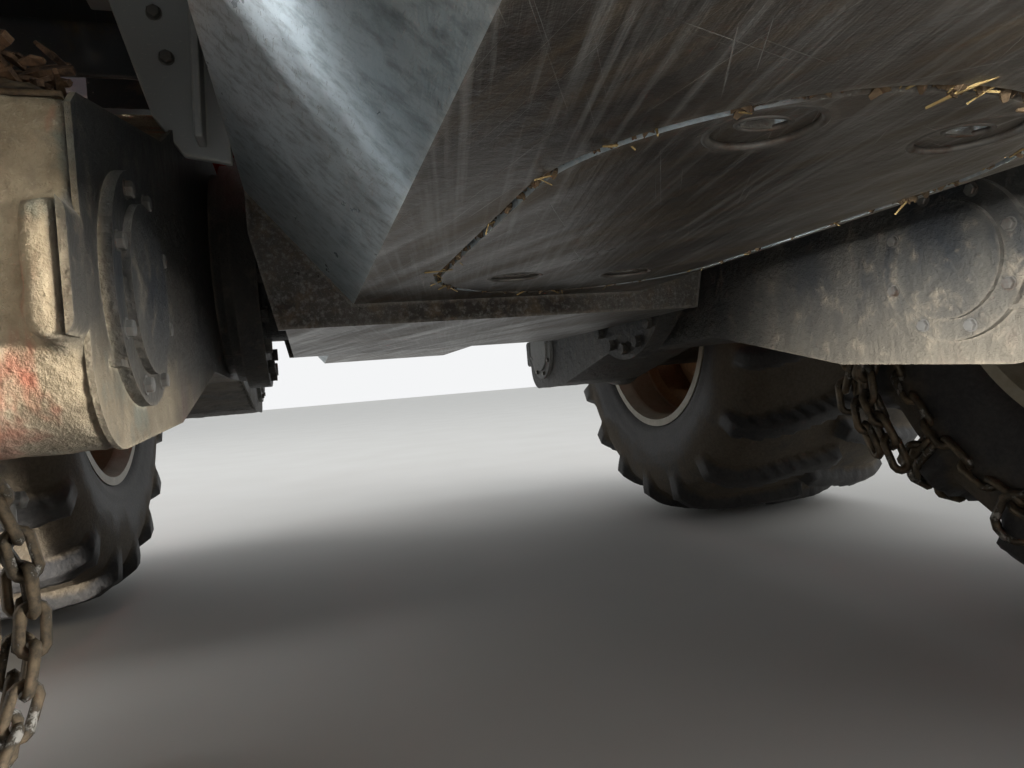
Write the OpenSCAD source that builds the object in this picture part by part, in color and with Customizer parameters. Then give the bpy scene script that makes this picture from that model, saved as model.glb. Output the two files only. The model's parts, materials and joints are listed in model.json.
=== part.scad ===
// Forestry forwarder on eight wheels, in millimetres. The machine's front faces -Y, +X is its left side and z = 0 is
// the ground. Y = 0 lies halfway along the machine, over the crane's pillar.

/* [Overall] */
// Length from the nose guard to the rear bumper
overall_l = 9600; // [9200:10:10400]
// Centre of the front bogies, behind the nose
front_bogie_back = 1750; // [1650:10:1900]
// Centre of the rear bogies, ahead of the rear bumper
rear_bogie_ahead = 2700; // [2500:10:2900]
// Steering joint, ahead of the crane's pillar
joint_ahead = 1150; // [1100:10:1250]

/* [Wheels] */
// Radius over the tread bars
wheel_r = 665; // [640:1:690]
// Width of a tyre
tyre_w = 710; // [600:5:720]
// Distance of a tyre's inner side from the centre plane
tyre_in = 800; // [795:1:850]
// Radius of the rim's flange
rim_r = 340; // [320:1:350]
// Thickness of the rim's barrel and disc
rim_t = 22; // [14:1:28]
// Distance between the two wheels of a bogie
wheel_base = 1500; // [1440:5:1600]
// Height of the tread bars
lug_h = 42; // [30:1:48]
// Tread bars on each side of a tyre
lug_n = 18; // [16:1:20]
// Half the thickness of the tyre chains
chain_r = 12; // [10:1:13]
// Cross chains on a tyre
chain_n = 12; // [10:1:14]

/* [Axles] */
// Height of the bogie's pivot over the wheel centres
pivot_up = 75; // [60:1:90]
// Radius of the axle's flange beside the frame
flange_r = 212; // [200:1:220]
// Thickness of the flange
flange_t = 38; // [25:1:50]
// Inner face of a bogie box
box_in = 440; // [430:1:460]
// Width of a bogie box
box_w = 250; // [220:1:280]
// How far a bogie box reaches below the wheel centres at its ends
box_drop = 193; // [180:1:200]
// How far its ends reach past the wheel centres
box_end = 130; // [120:1:140]
// Radius of the axle tubes
tube_r = 125; // [110:1:128]

/* [Front frame] */
// Underside of the belly pan
pan_z = 632; // [600:1:660]
// Half the width of the pan's flat bottom
pan_half = 232; // [220:1:250]
// Thickness of the pan
pan_t = 12; // [8:1:16]
// Underside of the guard strip below the axle
strip_z = 600; // [590:1:604]
// Outer face of a frame side plate
frame_half = 370; // [350:1:382]
// Thickness of a frame side plate
side_t = 30; // [20:1:40]
// Height where the slanted belly plates meet the side plates
knee_z = 800; // [780:1:830]
// Top of the front frame
frame_top = 1080; // [1050:1:1120]
// Length of the service hatch in the pan
hatch_l = 700; // [600:5:720]
// Width of the service hatch
hatch_w = 360; // [300:5:370]
// Gap round the hatch
hatch_gap = 8; // [5:1:12]
// Radius of the recess round a hatch bolt's slot
boss_r = 36; // [28:1:40]

/* [Hood] */
// Half the width of the hood
hood_half = 640; // [600:5:660]
// Top of the hood
hood_top = 2120; // [2050:5:2180]
// Underside of the hood
hood_z = 1130; // [1120:1:1160]
// Thickness of the hood's panels
hood_t = 30; // [20:1:40]

/* [Cab] */
// Half the width of the cab
cab_half = 750; // [720:5:780]
// Front of the cab, behind the front bogie's centre
cab_front_back = 100; // [80:5:140]
// Length of the cab
cab_l = 1400; // [1340:5:1420]
// Underside of the cab's floor
cab_z = 1440; // [1420:5:1480]
// Top of the cab's walls
cab_top = 3330; // [3280:5:3380]
// Thickness of the cab's walls
cab_t = 50; // [40:1:60]
// Thickness of the roof
roof_t = 110; // [90:1:120]
// Thickness of the glass
glass_t = 8; // [6:1:12]
// Height of the window sills above the cab's floor
sill_up = 560; // [500:10:640]

/* [Rear frame] */
// Half the width of the rear beam
beam_half = 200; // [180:5:220]
// Underside of the rear beam
beam_z = 900; // [880:1:930]
// Top of the rear beam
beam_top = 1240; // [1220:1:1260]
// Depth of a bunk's beam
bunk_h = 100; // [80:5:120]
// Underside of the bunks' arms over the tyres
bunk_arm_z = 1400; // [1390:5:1420]
// Half the width over the stakes
stake_half = 1340; // [1280:5:1380]
// Radius of a stake
stake_r = 45; // [38:1:50]
// Top of the stakes
stake_top = 2440; // [2300:10:2460]
// Front face of the headboard, behind the pillar
head_y = 640; // [600:5:700]
// Top of the headboard
head_top = 2520; // [2400:10:2540]

/* [Crane] */
// Height of the pillar's top pin
pillar_pin_z = 3000; // [2960:5:3040]
// Length of the lift boom between its pins
boom_l = 2650; // [2550:10:2700]
// Angle of the lift boom above level as parked
boom_a = 24; // [22:1:26]
// Length of the jib from its pin to the link's pin
jib_l = 1900; // [1850:10:2000]
// Angle of the jib below level as parked
jib_a = 10; // [8:1:12]
// How far the telescope slides out
tele_l = 1200; // [800:10:1220]
// Radius of the crane's main pins
pin_r = 40; // [34:1:45]
// Height of the closed grapple below the rotator
grapple_h = 700; // [690:10:720]
// Length of the grapple's jaws
jaw_w = 420; // [360:10:460]

/* [Mounts] */
// Radius of the tow pin's hole in the rear plate
tow_r = 25; // [20:0.5:30]
// Radius of the four bolt holes in the nose guard
nose_hole_r = 13; // [10:0.5:16]
// Height of the nose guard's bolts
nose_bolt_z = 930; // [900:5:960]

/* [Fits] */
// Clearance round a pin in its bore
fit = 0.3; // [0.2:0.05:0.6]
// Gap beside a moving ear
side_gap = 6; // [5:0.5:10]

/* [Hidden] */
$fn = 64;
front_y = -overall_l / 2;
rear_y = overall_l / 2;
front_bogie_y = front_y + front_bogie_back;
rear_bogie_y = rear_y - rear_bogie_ahead;
joint_y = -joint_ahead;
wheel_z = wheel_r;
pivot_z = wheel_z + pivot_up;
tyre_mid = tyre_in + tyre_w / 2;
case_r = 150;
case_z = pivot_z + case_r - tube_r;
disc_x = tyre_mid - 110;
cab_y0 = front_bogie_y + cab_front_back;
cab_y1 = cab_y0 + cab_l;
cab_floor = cab_z + 60;
sill_z = cab_floor + sill_up;
nose_y = front_y + 60;
hood_y1 = cab_y0 - 60;
hood_hinge_y = nose_y + 40;
hood_hinge_z = hood_z - 25;
bunk_top = beam_top + bunk_h;
flange_in = frame_half;
hatch_x = -37;
hatch_y = front_bogie_y + 755;
knuckle = [0, boom_l * cos(boom_a), pillar_pin_z + boom_l * sin(boom_a)];
tip = knuckle + [0, jib_l * cos(jib_a), -jib_l * sin(jib_a)];
slew_h = 400;
boom_half = 100;
lift_s = 650;
lift_off = 260;
lift_a = [270, 2150];
lift_b = [lift_s * cos(boom_a) + lift_off * sin(boom_a), pillar_pin_z + lift_s * sin(boom_a) - lift_off * cos(boom_a)];
jib_s = boom_l - 1100;
jib_off = 240;
lever_l = 220;
lever_a = 132;
jib_pin_a = [jib_s * cos(boom_a) - jib_off * sin(boom_a), pillar_pin_z + jib_s * sin(boom_a) + jib_off * cos(boom_a)];
jib_pin_b = [knuckle.y + lever_l * cos(lever_a), knuckle.z + lever_l * sin(lever_a)];
steer_a = [260, joint_y - 450];
steer_b = [240, joint_y + 250];
steer_z = frame_top + 45;
steer_eye = 46;
jib_half = 92;
jib_mouth = jib_l - 180;
tele_0 = jib_mouth - tele_l - 160;
jaw_x = 110;
jaw_z = -170;
eye_half = 38;
link_h = 260;
rotator_h = 220;
grapple_z = tip.z - link_h - rotator_h;

// Wheels: name, side (1 is the left), centre along Y, 1 where it wears a chain
WHEELS = [
    ["fl1", 1, front_bogie_y - wheel_base / 2, 0],
    ["fl2", 1, front_bogie_y + wheel_base / 2, 1],
    ["fr1", -1, front_bogie_y - wheel_base / 2, 0],
    ["fr2", -1, front_bogie_y + wheel_base / 2, 1],
    ["rl1", 1, rear_bogie_y - wheel_base / 2, 0],
    ["rl2", 1, rear_bogie_y + wheel_base / 2, 0],
    ["rr1", -1, rear_bogie_y - wheel_base / 2, 0],
    ["rr2", -1, rear_bogie_y + wheel_base / 2, 0]
];

// A drawing in (x, z) pushed along Y from y0 to y1
module along_y(y0, y1) {
    translate([0, y1, 0]) rotate([90, 0, 0]) linear_extrude(y1 - y0) children();
}

// A drawing in (y, z) pushed along X from x0 to x1
module along_x(x0, x1) {
    translate([x0, 0, 0]) rotate([90, 0, 90]) linear_extrude(x1 - x0) children();
}

// A round bar along X
module bar_x(r, x0, x1, y, z) {
    translate([x0, y, z]) rotate([0, 90, 0]) cylinder(r = r, h = x1 - x0);
}

// A round bar along Y
module bar_y(r, y0, y1, x, z) {
    translate([x, y1, z]) rotate([90, 0, 0]) cylinder(r = r, h = y1 - y0);
}

module bar_z(r, z0, z1, x, y) {
    translate([x, y, z0]) cylinder(r = r, h = z1 - z0);
}

// A block between two corners
module block(a, b) {
    translate(a) cube(b - a);
}

module both_sides() {
    children();
    mirror([1, 0, 0]) children();
}

// A tyre's outline turned round the axle, with its tread r from the middle and tread_w to each side
module tyre_ring(r, tread_w) {
    half = tyre_w / 2;
    outline = [
        [-half + 50, rim_r], [-half + 8, rim_r + 70], [-half, rim_r + 150], [-half + 14, r - 70], [-tread_w, r - 26],
        [-tread_w + 110, r], [tread_w - 110, r], [tread_w, r - 26], [half - 14, r - 70], [half, rim_r + 150],
        [half - 8, rim_r + 70], [half - 50, rim_r]
    ];
    rotate([0, 90, 0]) rotate_extrude() polygon([for (p = outline) [p[1], p[0]]]);
}

// The outermost layer of a tyre, from its inner radius to r: distance along the axle is a, then b at the shoulder
module tread_layer(r, inner, a, b) {
    rotate([0, 90, 0]) rotate_extrude() polygon([
        [inner, -b], [r - 26, -b], [r, -a], [r, a], [r - 26, b], [inner, b]
    ]);
}

// Bars that start past the middle of the tread and lean back over each shoulder, in turn left and right
module tread_bars(r) {
    half = tyre_w / 2;
    pitch = 360 / lug_n;
    intersection() {
        tread_layer(r, r - 120, half - 146, half - 34);
        for (i = [0:lug_n - 1], s = [-1, 1]) rotate([(i + (s > 0 ? 0.5 : 0)) * pitch, 0, 0])
            translate([0, 0, wheel_r - 150]) linear_extrude(200) polygon([
                [-s * 24, -70], [s * 190, -10], [s * half, 40], [s * half, 108], [s * 180, 56], [-s * 24, -8]
            ]);
    }
}

// Side chains round both flanks and cross chains that lean to and fro over the tread
module tyre_chain() {
    half = tyre_w / 2;
    ring_r = rim_r + 150;
    rotate([0, 90, 0]) for (x = [-half - 4, half + 4])
        translate([0, 0, x]) rotate_extrude() translate([ring_r, 0]) circle(r = chain_r, $fn = 24);
    intersection() {
        difference() {
            tread_layer(wheel_r, ring_r - 6, half - 120, half + 8);
            tread_layer(wheel_r - 2 * chain_r - 30, ring_r - 20, half - 120, half - 22);
        }
        for (i = [0:chain_n - 1]) rotate([i * 360 / chain_n, 0, 0]) mirror([i % 2, 0, 0])
            linear_extrude(wheel_r + 10) polygon([
                [-half - 20, -90 - chain_r], [half + 20, 90 - chain_r], [half + 20, 90 + chain_r], [-half - 20, -90 + chain_r]
            ]);
    }
}

module tyre(chained) {
    r = chained ? wheel_r - 2 * chain_r : wheel_r;
    tyre_ring(r - lug_h, tyre_w / 2 - 60);
    tread_bars(r);
    if (chained) tyre_chain();
}

// Rim with its flanges and drop centre, the dish with its hand holes, and the hub
module rim() {
    half = tyre_w / 2 - 50;
    bead_r = rim_r - fit;
    wall_r = bead_r - rim_t;
    well_r = wall_r - 24;
    dish_x = disc_x - tyre_mid;
    rotate([0, 90, 0]) rotate_extrude() polygon([
        [bead_r, -half], [bead_r + 12, -half - 11], [bead_r + 16, -half - 25], [wall_r + 16, -half - 25],
        [wall_r, -half + 20], [wall_r, -200], [well_r, -170], [well_r, 60], [wall_r, 90], [wall_r, half - 20],
        [wall_r + 16, half + 25], [bead_r + 16, half + 25], [bead_r + 12, half + 11], [bead_r, half]
    ]);
    translate([dish_x, 0, 0]) rotate([0, 90, 0]) difference() {
        rotate_extrude() polygon([[0, 0], [215, 0], [wall_r - 10, 50], [wall_r + 2, 50], [wall_r + 2, 74], [wall_r - 20, 74], [205, rim_t], [0, rim_t]]);
        for (a = [0:45:315]) rotate(a + 22.5) translate([255, 0, -1]) cylinder(r = 30, h = 90);
    }
    translate([dish_x + rim_t, 0, 0]) rotate([0, 90, 0]) {
        cylinder(r = 175, h = 40);
        cylinder(r = 135, h = 130);
        cylinder(r = 90, h = 165);
        for (a = [0:30:330]) rotate(a) translate([155, 0, 39]) cylinder(r = 13, h = 16, $fn = 6);
    }
}

module wheel_at(w) {
    translate([w[1] * tyre_mid, w[2], wheel_z]) mirror([w[1] > 0 ? 0 : 1, 0, 0]) children();
}

// Half of a bogie box's side: an arch under the pivot, a rounded toe, and a top that falls towards the hub
module bogie_side() {
    half = wheel_base / 2;
    toe = half + box_end;
    low = wheel_z - box_drop;
    r = 70;
    polygon([
        [-1, wheel_z - 117], [240, wheel_z - 113], [half - 190, low + 12], [toe - r, low], [toe, low + r],
        [toe, wheel_z + 38], [toe - 14, wheel_z + 50], [half - 200, wheel_z + 130], [flange_r + 120, pivot_z + 170],
        [flange_r + 20, pivot_z + 206], [-1, pivot_z + 206]
    ]);
    translate([toe - r, low + r]) circle(r = r);
}

// The bogie's box with its two hubs, round covers and cast eyes; y is the bogie's centre
module bogie_box(y) {
    box_out = box_in + box_w;
    half = wheel_base / 2;
    toe = half + box_end;
    difference() {
        union() {
            along_x(box_in, box_out) for (m = [0, 1]) translate([y, 0]) mirror([m, 0]) bogie_side();
            for (s = [-1, 1]) {
                bar_x(150, box_out - 1, disc_x - fit, y + s * half, wheel_z);
                bar_x(205, box_out - 1, box_out + 45, y + s * half, wheel_z);
                // Cover plate of the hub's gears and the rib round it
                bar_x(96, box_in - 9, box_in + 1, y + s * half, wheel_z - 66);
                bar_x(70, box_in - 15, box_in + 1, y + s * half, wheel_z - 66);
            }
            for (m = [0, 1]) translate([0, y, 0]) mirror([0, m, 0]) {
                // Cast eye on the toe, as tall as a hand
                for (x = [box_in + 14, box_out - 40]) translate([x, 0, 0]) along_y(toe - 1, toe + 34) {
                    translate([0, wheel_z - 74]) square([30, 62], center = true);
                    for (z = [-105, -43]) translate([0, wheel_z + z]) circle(r = 15);
                }
                // Lower half of the toe, thicker than the upper
                block([box_in - 8, toe - 130, wheel_z - box_drop + 60], [box_in + 1, toe - 40, wheel_z - 128]);
            }
        }
        bar_x(flange_r - 30 + fit, box_in - 1, box_in + 60, y, pivot_z);
    }
}

// Axle tube with the differential's housing on it; grow is a clearance all round
module axle_body(y, grow = 0) {
    bar_x(tube_r + grow, -flange_in - grow, flange_in + grow, y, pivot_z);
    bar_y(case_r + grow, y - 190 - grow, y + 150 + grow, 0, case_z);
    bar_y(case_r - 50 + grow, y - 250 - grow, y - 180, 0, case_z);
}

// Flange on the frame, the bolts round its open lower half, and the ring that turns in the bogie's box
module axle(y, in) {
    bar_x(flange_r, in, in + flange_t, y, pivot_z);
    bar_x(flange_r - 14, in + flange_t - 1, in + flange_t + 16, y, pivot_z);
    bar_x(flange_r - 30, in + flange_t - 1, box_in + 60 - fit, y, pivot_z);
    for (a = [100:20:260]) translate([in - 11, y, pivot_z]) rotate([a, 0, 0]) translate([0, 0, flange_r - 24])
        rotate([0, 90, 0]) cylinder(r = 13, h = 12, $fn = 6);
}

module front_frame() {
    color("dimgray") {
        both_sides() difference() {
            along_x(frame_half - side_t, frame_half) polygon([
                [nose_y + 30, knee_z + 40], [nose_y + 330, knee_z], [joint_y - 560, knee_z], [joint_y - 330, knee_z - 60],
                [joint_y - 330, frame_top - 20], [joint_y - 500, frame_top], [nose_y + 30, frame_top]
            ]);
            bar_x(tube_r + fit, frame_half - side_t - 1, frame_half + 1, front_bogie_y, pivot_z);
        }
        for (y = [nose_y + 260, front_bogie_y - 420, front_bogie_y + 420, joint_y - 620])
            block([-frame_half + side_t, y - 15, knee_z + 10], [frame_half - side_t, y + 15, frame_top]);
        block([-frame_half, joint_y - 360, knee_z - 60], [frame_half, joint_y - 330, frame_top - 20]);
        // Jaws of the steering joint round the rear frame's eye
        for (z = [frame_top - 90, knee_z - 60]) difference() {
            translate([0, 0, z]) linear_extrude(50) hull() {
                translate([0, joint_y]) circle(r = 150);
                translate([-260, joint_y - 340]) square([520, 10]);
            }
            bar_z(60 + fit, z - 1, z + 51, 0, joint_y);
        }
        bar_z(60, knee_z - 75, frame_top - 25, 0, joint_y);
        bar_z(90, frame_top - 40, frame_top - 25, 0, joint_y);
        // Nose guard
        difference() {
            block([-620, front_y, knee_z - 40], [620, front_y + 40, hood_z - 50]);
            for (x = [-200, 200], z = [-80, 80]) bar_y(nose_hole_r, front_y - 1, front_y + 41, x, nose_bolt_z + z);
        }
        both_sides() block([300, front_y + 39, knee_z + 40], [frame_half, nose_y + 31, frame_top]);
        // Bent ends of the nose guard
        both_sides() translate([0, 0, knee_z - 40]) linear_extrude(hood_z - knee_z - 10) polygon([
            [619, front_y], [700, front_y + 90], [700, front_y + 130], [619, front_y + 40]
        ]);
        // Cab and hood carriers
        both_sides() {
            block([frame_half - side_t, cab_y0 + 120, frame_top - 1], [frame_half + 210, cab_y0 + 240, cab_z]);
            block([frame_half - side_t, cab_y1 - 240, frame_top - 1], [frame_half + 210, cab_y1 - 120, cab_z]);
            block([frame_half - side_t, nose_y + 110, frame_top - 60], [hood_half - 60, nose_y + 160, hood_z - fit]);
            block([frame_half - side_t, hood_y1 - 160, frame_top - 30], [hood_half, hood_y1 - 40, hood_z - fit]);
            // Hinge lugs of the hood
            difference() {
                union() {
                    bar_x(22, 496, 516, hood_hinge_y, hood_hinge_z);
                    block([496, hood_hinge_y, hood_hinge_z - 22], [516, nose_y + 111, hood_hinge_z + 10]);
                }
                bar_x(12 + fit, 490, 520, hood_hinge_y, hood_hinge_z);
            }
        }
        // Ears that hold the steering cylinders' barrels
        both_sides() steer_ears(steer_a, frame_top - 21);
    }
}

// The belly's trough between two places along Y
module trough(y0, y1) {
    along_y(y0, y1) difference() {
        polygon([
            [-frame_half, knee_z], [-pan_half, pan_z], [pan_half, pan_z], [frame_half, knee_z],
            [frame_half - 18, knee_z], [pan_half - 6, pan_z + pan_t], [-pan_half + 6, pan_z + pan_t],
            [-frame_half + 18, knee_z]
        ]);
    }
}

module hatch_shape(grow) {
    r = hatch_w / 2 + grow;
    reach = (hatch_l - hatch_w) / 2;
    for (s = [-1, 1]) translate([hatch_x, hatch_y + s * reach]) circle(r = r);
    translate([hatch_x - r, hatch_y - reach]) square([2 * r, 2 * reach]);
}

// Cross plate of the belly between y and y + pan_t: it fits between the side plates and reaches down to the strip
module belly_bulkhead(y) {
    in = frame_half - side_t - fit;
    along_y(y, y + pan_t) polygon([
        [-in, frame_top - 70], [-in, knee_z], [-frame_half, knee_z], [-frame_half, knee_z - 60], [-frame_half + 30, strip_z],
        [frame_half - 30, strip_z], [frame_half, knee_z - 60], [frame_half, knee_z], [in, knee_z], [in, frame_top - 70]
    ]);
}

// The hatch's four bolt slots: two near its back end and two further from its front end
module hatch_slots() {
    for (x = [-78, 78], y = [-215, 290]) translate([hatch_x + x, hatch_y + y]) children();
}

module belly_pan() {
    lip_y = front_bogie_y + 350;
    toe_y = front_bogie_y - 330;
    color("slategray") {
        difference() {
            trough(lip_y - 1, joint_y - 565);
            translate([0, 0, pan_z - 1]) linear_extrude(pan_t + 2) hatch_shape(hatch_gap);
        }
        trough(nose_y + 330, toe_y + 1);
        belly_bulkhead(lip_y - pan_t);
        belly_bulkhead(toe_y);
        // Strip under the axle
        block([-frame_half + 40, toe_y, strip_z], [frame_half - 40, lip_y, strip_z + pan_t]);
        // Ledge that the hatch is bolted to
        translate([0, 0, pan_z + pan_t]) linear_extrude(8) difference() {
            hatch_shape(hatch_gap + 12);
            hatch_shape(-25);
            hatch_slots() circle(r = boss_r + 6);
        }
    }
}

module belly_hatch() {
    color("darkslategray") difference() {
        translate([0, 0, pan_z]) linear_extrude(pan_t) hatch_shape(0);
        hatch_slots() translate([0, 0, pan_z - 1]) {
            cylinder(r = boss_r, h = 5);
            for (u = [-9, 9]) translate([u, 0, 0]) cylinder(r = 7, h = pan_t + 2);
            translate([-9, -7, 0]) cube([18, 14, pan_t + 2]);
        }
    }
}

module engine() {
    color("gray") {
        block([-hood_half * 0.4, nose_y + 570, frame_top], [hood_half * 0.4, hood_y1 - 200, hood_top - 350]);
    }
}

module front_axle() {
    color("olivedrab") {
        axle_body(front_bogie_y);
        both_sides() axle(front_bogie_y, flange_in);
    }
}

module front_bogies() {
    color("peru") both_sides() bogie_box(front_bogie_y);
}

// Mudguard: a flat top between two slanted flaps, on two brackets from the cab's carriers
module fender() {
    y0 = front_bogie_y - wheel_base / 2 - 250;
    y1 = front_bogie_y + wheel_base / 2 + 630;
    z1 = cab_z - 15;
    t = 25;
    along_x(cab_half + 10, tyre_in + tyre_w) polygon([
        [y0 - 180, z1 - 175], [y0, z1 - t], [y1, z1 - t], [y1 + 90, z1 - 245], [y1 + 110, z1 - 235],
        [y1 + 14, z1], [y0 - 10, z1], [y0 - 198, z1 - 157]
    ]);
    // Rolled outer edge
    bar_y(14, y0, y1, tyre_in + tyre_w - 12, z1 - t - 4);
    for (y = [cab_y0 + 120, cab_y1 - 240]) block([frame_half + 210, y, z1 - 45], [cab_half + 11, y + 120, z1]);
}

module fenders() {
    color("firebrick") both_sides() fender();
}

// The hood's side outline, set in by d
module hood_side(d) {
    polygon([
        [nose_y + d, hood_z - 1 + (d > 0 ? 0 : 1)], [nose_y + d, hood_top - 420], [nose_y + 180 + d, hood_top - 90 - d],
        [nose_y + 420, hood_top - d], [hood_y1 - d, hood_top - d], [hood_y1 - d, hood_z - 1 + (d > 0 ? 0 : 1)]
    ]);
}

module hood() {
    color("firebrick") difference() {
        along_x(-hood_half, hood_half) hood_side(0);
        along_x(-hood_half + hood_t, hood_half - hood_t) hood_side(hood_t);
        // Folded edges along the top
        both_sides() along_y(nose_y - 1, hood_y1 + 1) polygon([
            [hood_half - 48, hood_top + 1], [hood_half + 1, hood_top - 48], [hood_half + 1, hood_top + 1]
        ]);
        // Front grille and side vents
        for (i = [0:8]) block([-419, nose_y - 1, hood_z + 120 + i * 60], [419, nose_y + hood_t + 1, hood_z + 155 + i * 60]);
        both_sides() for (i = [0:6])
            block([hood_half - hood_t - 1, nose_y + 520 + i * 70, hood_z + 250],
                  [hood_half + 1, nose_y + 555 + i * 70, hood_z + 650]);
    }
    // Pressed lid, grille frame with its middle post, and a rib above the side vents
    color("firebrick") {
        along_x(-hood_half + 240, hood_half - 240) polygon([
            [nose_y + 520, hood_top - 1], [hood_y1 - 90, hood_top - 1], [hood_y1 - 120, hood_top + 14], [nose_y + 560, hood_top + 14]
        ]);
        for (x = [-450, 420]) block([x, nose_y - 14, hood_z + 90], [x + 30, nose_y + 1, hood_z + 665]);
        for (z = [hood_z + 80, hood_z + 655]) block([-450, nose_y - 14, z], [450, nose_y + 1, z + 30]);
        both_sides() block([hood_half - 1, nose_y + 480, hood_z + 670], [hood_half + 10, hood_y1 - 60, hood_z + 700]);
    }
    color("dimgray") both_sides() {
        bar_x(12, 470, 540, hood_hinge_y, hood_hinge_z);
        for (x = [471, 522]) along_x(x, x + 18) polygon([
            [hood_hinge_y - 20, hood_hinge_z - 14], [hood_hinge_y + 14, hood_hinge_z - 14],
            [hood_hinge_y + 14, hood_z + 60], [nose_y + hood_t - 1, hood_z + 60], [nose_y + hood_t - 1, hood_z + 1],
            [hood_hinge_y - 20, hood_z + 1]
        ]);
    }
}

// The cab's side outline, set in by d
module cab_side(d) {
    polygon([
        [cab_y0 + d, cab_z + d], [cab_y0 + d, sill_z], [cab_y0 + 60 + d, cab_top - d],
        [cab_y1 - 40 - d, cab_top - d], [cab_y1 - d, sill_z], [cab_y1 - d, cab_z + d]
    ]);
}

door_y0 = cab_y0 + 520;
door_y1 = cab_y1 - 120;
door_z0 = cab_z + 60;
door_z1 = cab_top - 80;
door_pin = [cab_half + 18, door_y0 - 4];
DOOR_HINGES = [door_z0 + 200, door_z1 - 290];

module cab_shell() {
    color("gainsboro") difference() {
        along_x(-cab_half, cab_half) cab_side(0);
        along_x(-cab_half + cab_t, cab_half - cab_t) difference() {
            cab_side(cab_t);
            translate([cab_y0, cab_z]) square([cab_l, 60]);
        }
        // Folded corners
        for (m = [0, 1]) mirror([m, 0, 0]) {
            translate([0, 0, cab_z - 1]) linear_extrude(cab_top - cab_z + 2) {
                polygon([[cab_half - 64, cab_y0 - 1], [cab_half + 1, cab_y0 - 1], [cab_half + 1, cab_y0 + 64]]);
                polygon([[cab_half - 64, cab_y1 + 1], [cab_half + 1, cab_y1 - 64], [cab_half + 1, cab_y1 + 1]]);
            }
        }
        // Windscreen, rear window, left and right windows and the doorway
        block([-cab_half + 110, cab_y0 - 1, sill_z], [cab_half - 110, cab_y0 + 130, cab_top - 110]);
        block([-cab_half + 110, cab_y1 - 130, sill_z - 200], [cab_half - 110, cab_y1 + 1, cab_top - 110]);
        block([-cab_half - 1, cab_y0 + 160, sill_z], [-cab_half + cab_t + 1, cab_y1 - 170, cab_top - 110]);
        block([cab_half - cab_t - 1, cab_y0 + 160, sill_z], [cab_half + 1, door_y0 - 70, cab_top - 110]);
        block([cab_half - cab_t - 1, door_y0, door_z0], [cab_half + 1, door_y1, door_z1]);
        block([-cab_half + 150, cab_y0 + 200, cab_top - cab_t - 1], [cab_half - 150, cab_y1 - 200, cab_top + 1]);
    }
    // Mirrors on their arms, and grab rails behind the doorway and across the right side
    color("dimgray") {
        both_sides() {
            for (z = [sill_z + 120, sill_z + 560]) bar_x(11, cab_half - 60, cab_half + 190, cab_y0 + 90, z);
            bar_z(11, sill_z + 110, sill_z + 570, cab_half + 180, cab_y0 + 90);
            along_y(cab_y0 + 60, cab_y0 + 82) {
                translate([cab_half + 100, sill_z + 190]) square([160, 300]);
                for (z = [sill_z + 190, sill_z + 490]) translate([cab_half + 180, z]) circle(r = 80);
            }
        }
        bar_z(14, cab_z + 120, sill_z + 500, cab_half + 52, cab_y1 - 76);
        for (z = [cab_z + 140, sill_z + 480]) bar_x(11, cab_half - 20, cab_half + 53, cab_y1 - 76, z);
        bar_y(14, cab_y0 + 260, cab_y1 - 260, -cab_half - 52, sill_z - 60);
        for (y = [cab_y0 + 280, cab_y1 - 280]) bar_x(11, -cab_half - 53, -cab_half + 20, y, sill_z - 60);
    }
    // Hinge pins of the door
    color("dimgray") for (z = DOOR_HINGES) {
        bar_z(8, z - 40, z + 130, door_pin.x, door_pin.y);
        for (e = [z - 40, z + 92]) {
            bar_z(14, e, e + 38, door_pin.x, door_pin.y);
            block([cab_half - 1, door_y0 - 60, e], [cab_half + 10, door_pin.y, e + 38]);
        }
    }
}

module cab_roof() {
    color("firebrick") along_x(-cab_half - 20, cab_half + 20) polygon([
        [cab_y0 - 30, cab_top], [cab_y0 - 190, cab_top + 24], [cab_y0 - 190, cab_top + 44], [cab_y0 - 30, cab_top + roof_t - 30],
        [cab_y0 + 50, cab_top + roof_t],
        [cab_y1 - 60, cab_top + roof_t], [cab_y1 - 10, cab_top + roof_t - 40], [cab_y1 - 10, cab_top]
    ]);
}

// A pane in a window hole, with a seat gap all round
module pane(a, b) {
    block(a + [fit, fit, fit], b - [fit, fit, fit]);
}

module cab_glass() {
    color("lightcyan", 0.5) {
        pane([-cab_half + 110, cab_y0 + 66, sill_z], [cab_half - 110, cab_y0 + 66 + glass_t, cab_top - 110]);
        pane([-cab_half + 110, cab_y1 - 80, sill_z - 200], [cab_half - 110, cab_y1 - 80 + glass_t, cab_top - 110]);
        pane([-cab_half + 20, cab_y0 + 160, sill_z], [-cab_half + 20 + glass_t, cab_y1 - 170, cab_top - 110]);
        pane([cab_half - 28, cab_y0 + 160, sill_z], [cab_half - 20, door_y0 - 70, cab_top - 110]);
    }
}

module cab_door() {
    gap = 6;
    color("firebrick") {
        difference() {
            block([cab_half - cab_t + 5, door_y0 + gap, door_z0 + gap], [cab_half, door_y1 - gap, door_z1 - gap]);
            block([cab_half - cab_t, door_y0 + 80, sill_z - 250], [cab_half + 1, door_y1 - 80, door_z1 - 80]);
        }
        for (z = DOOR_HINGES) difference() {
            union() {
                bar_z(14, z, z + 90, door_pin.x, door_pin.y);
                block([cab_half + 3, door_pin.y, z + 5], [cab_half + 10, door_y0 + 70, z + 85]);
                block([cab_half - 1, door_y0 + gap + 1, z + 5], [cab_half + 4, door_y0 + 70, z + 85]);
            }
            bar_z(8 + fit, z - 1, z + 91, door_pin.x, door_pin.y);
        }
    }
}

module door_glass() {
    color("lightcyan", 0.5) pane([cab_half - 28, door_y0 + 80, sill_z - 250], [cab_half - 20, door_y1 - 80, door_z1 - 80]);
}

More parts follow.
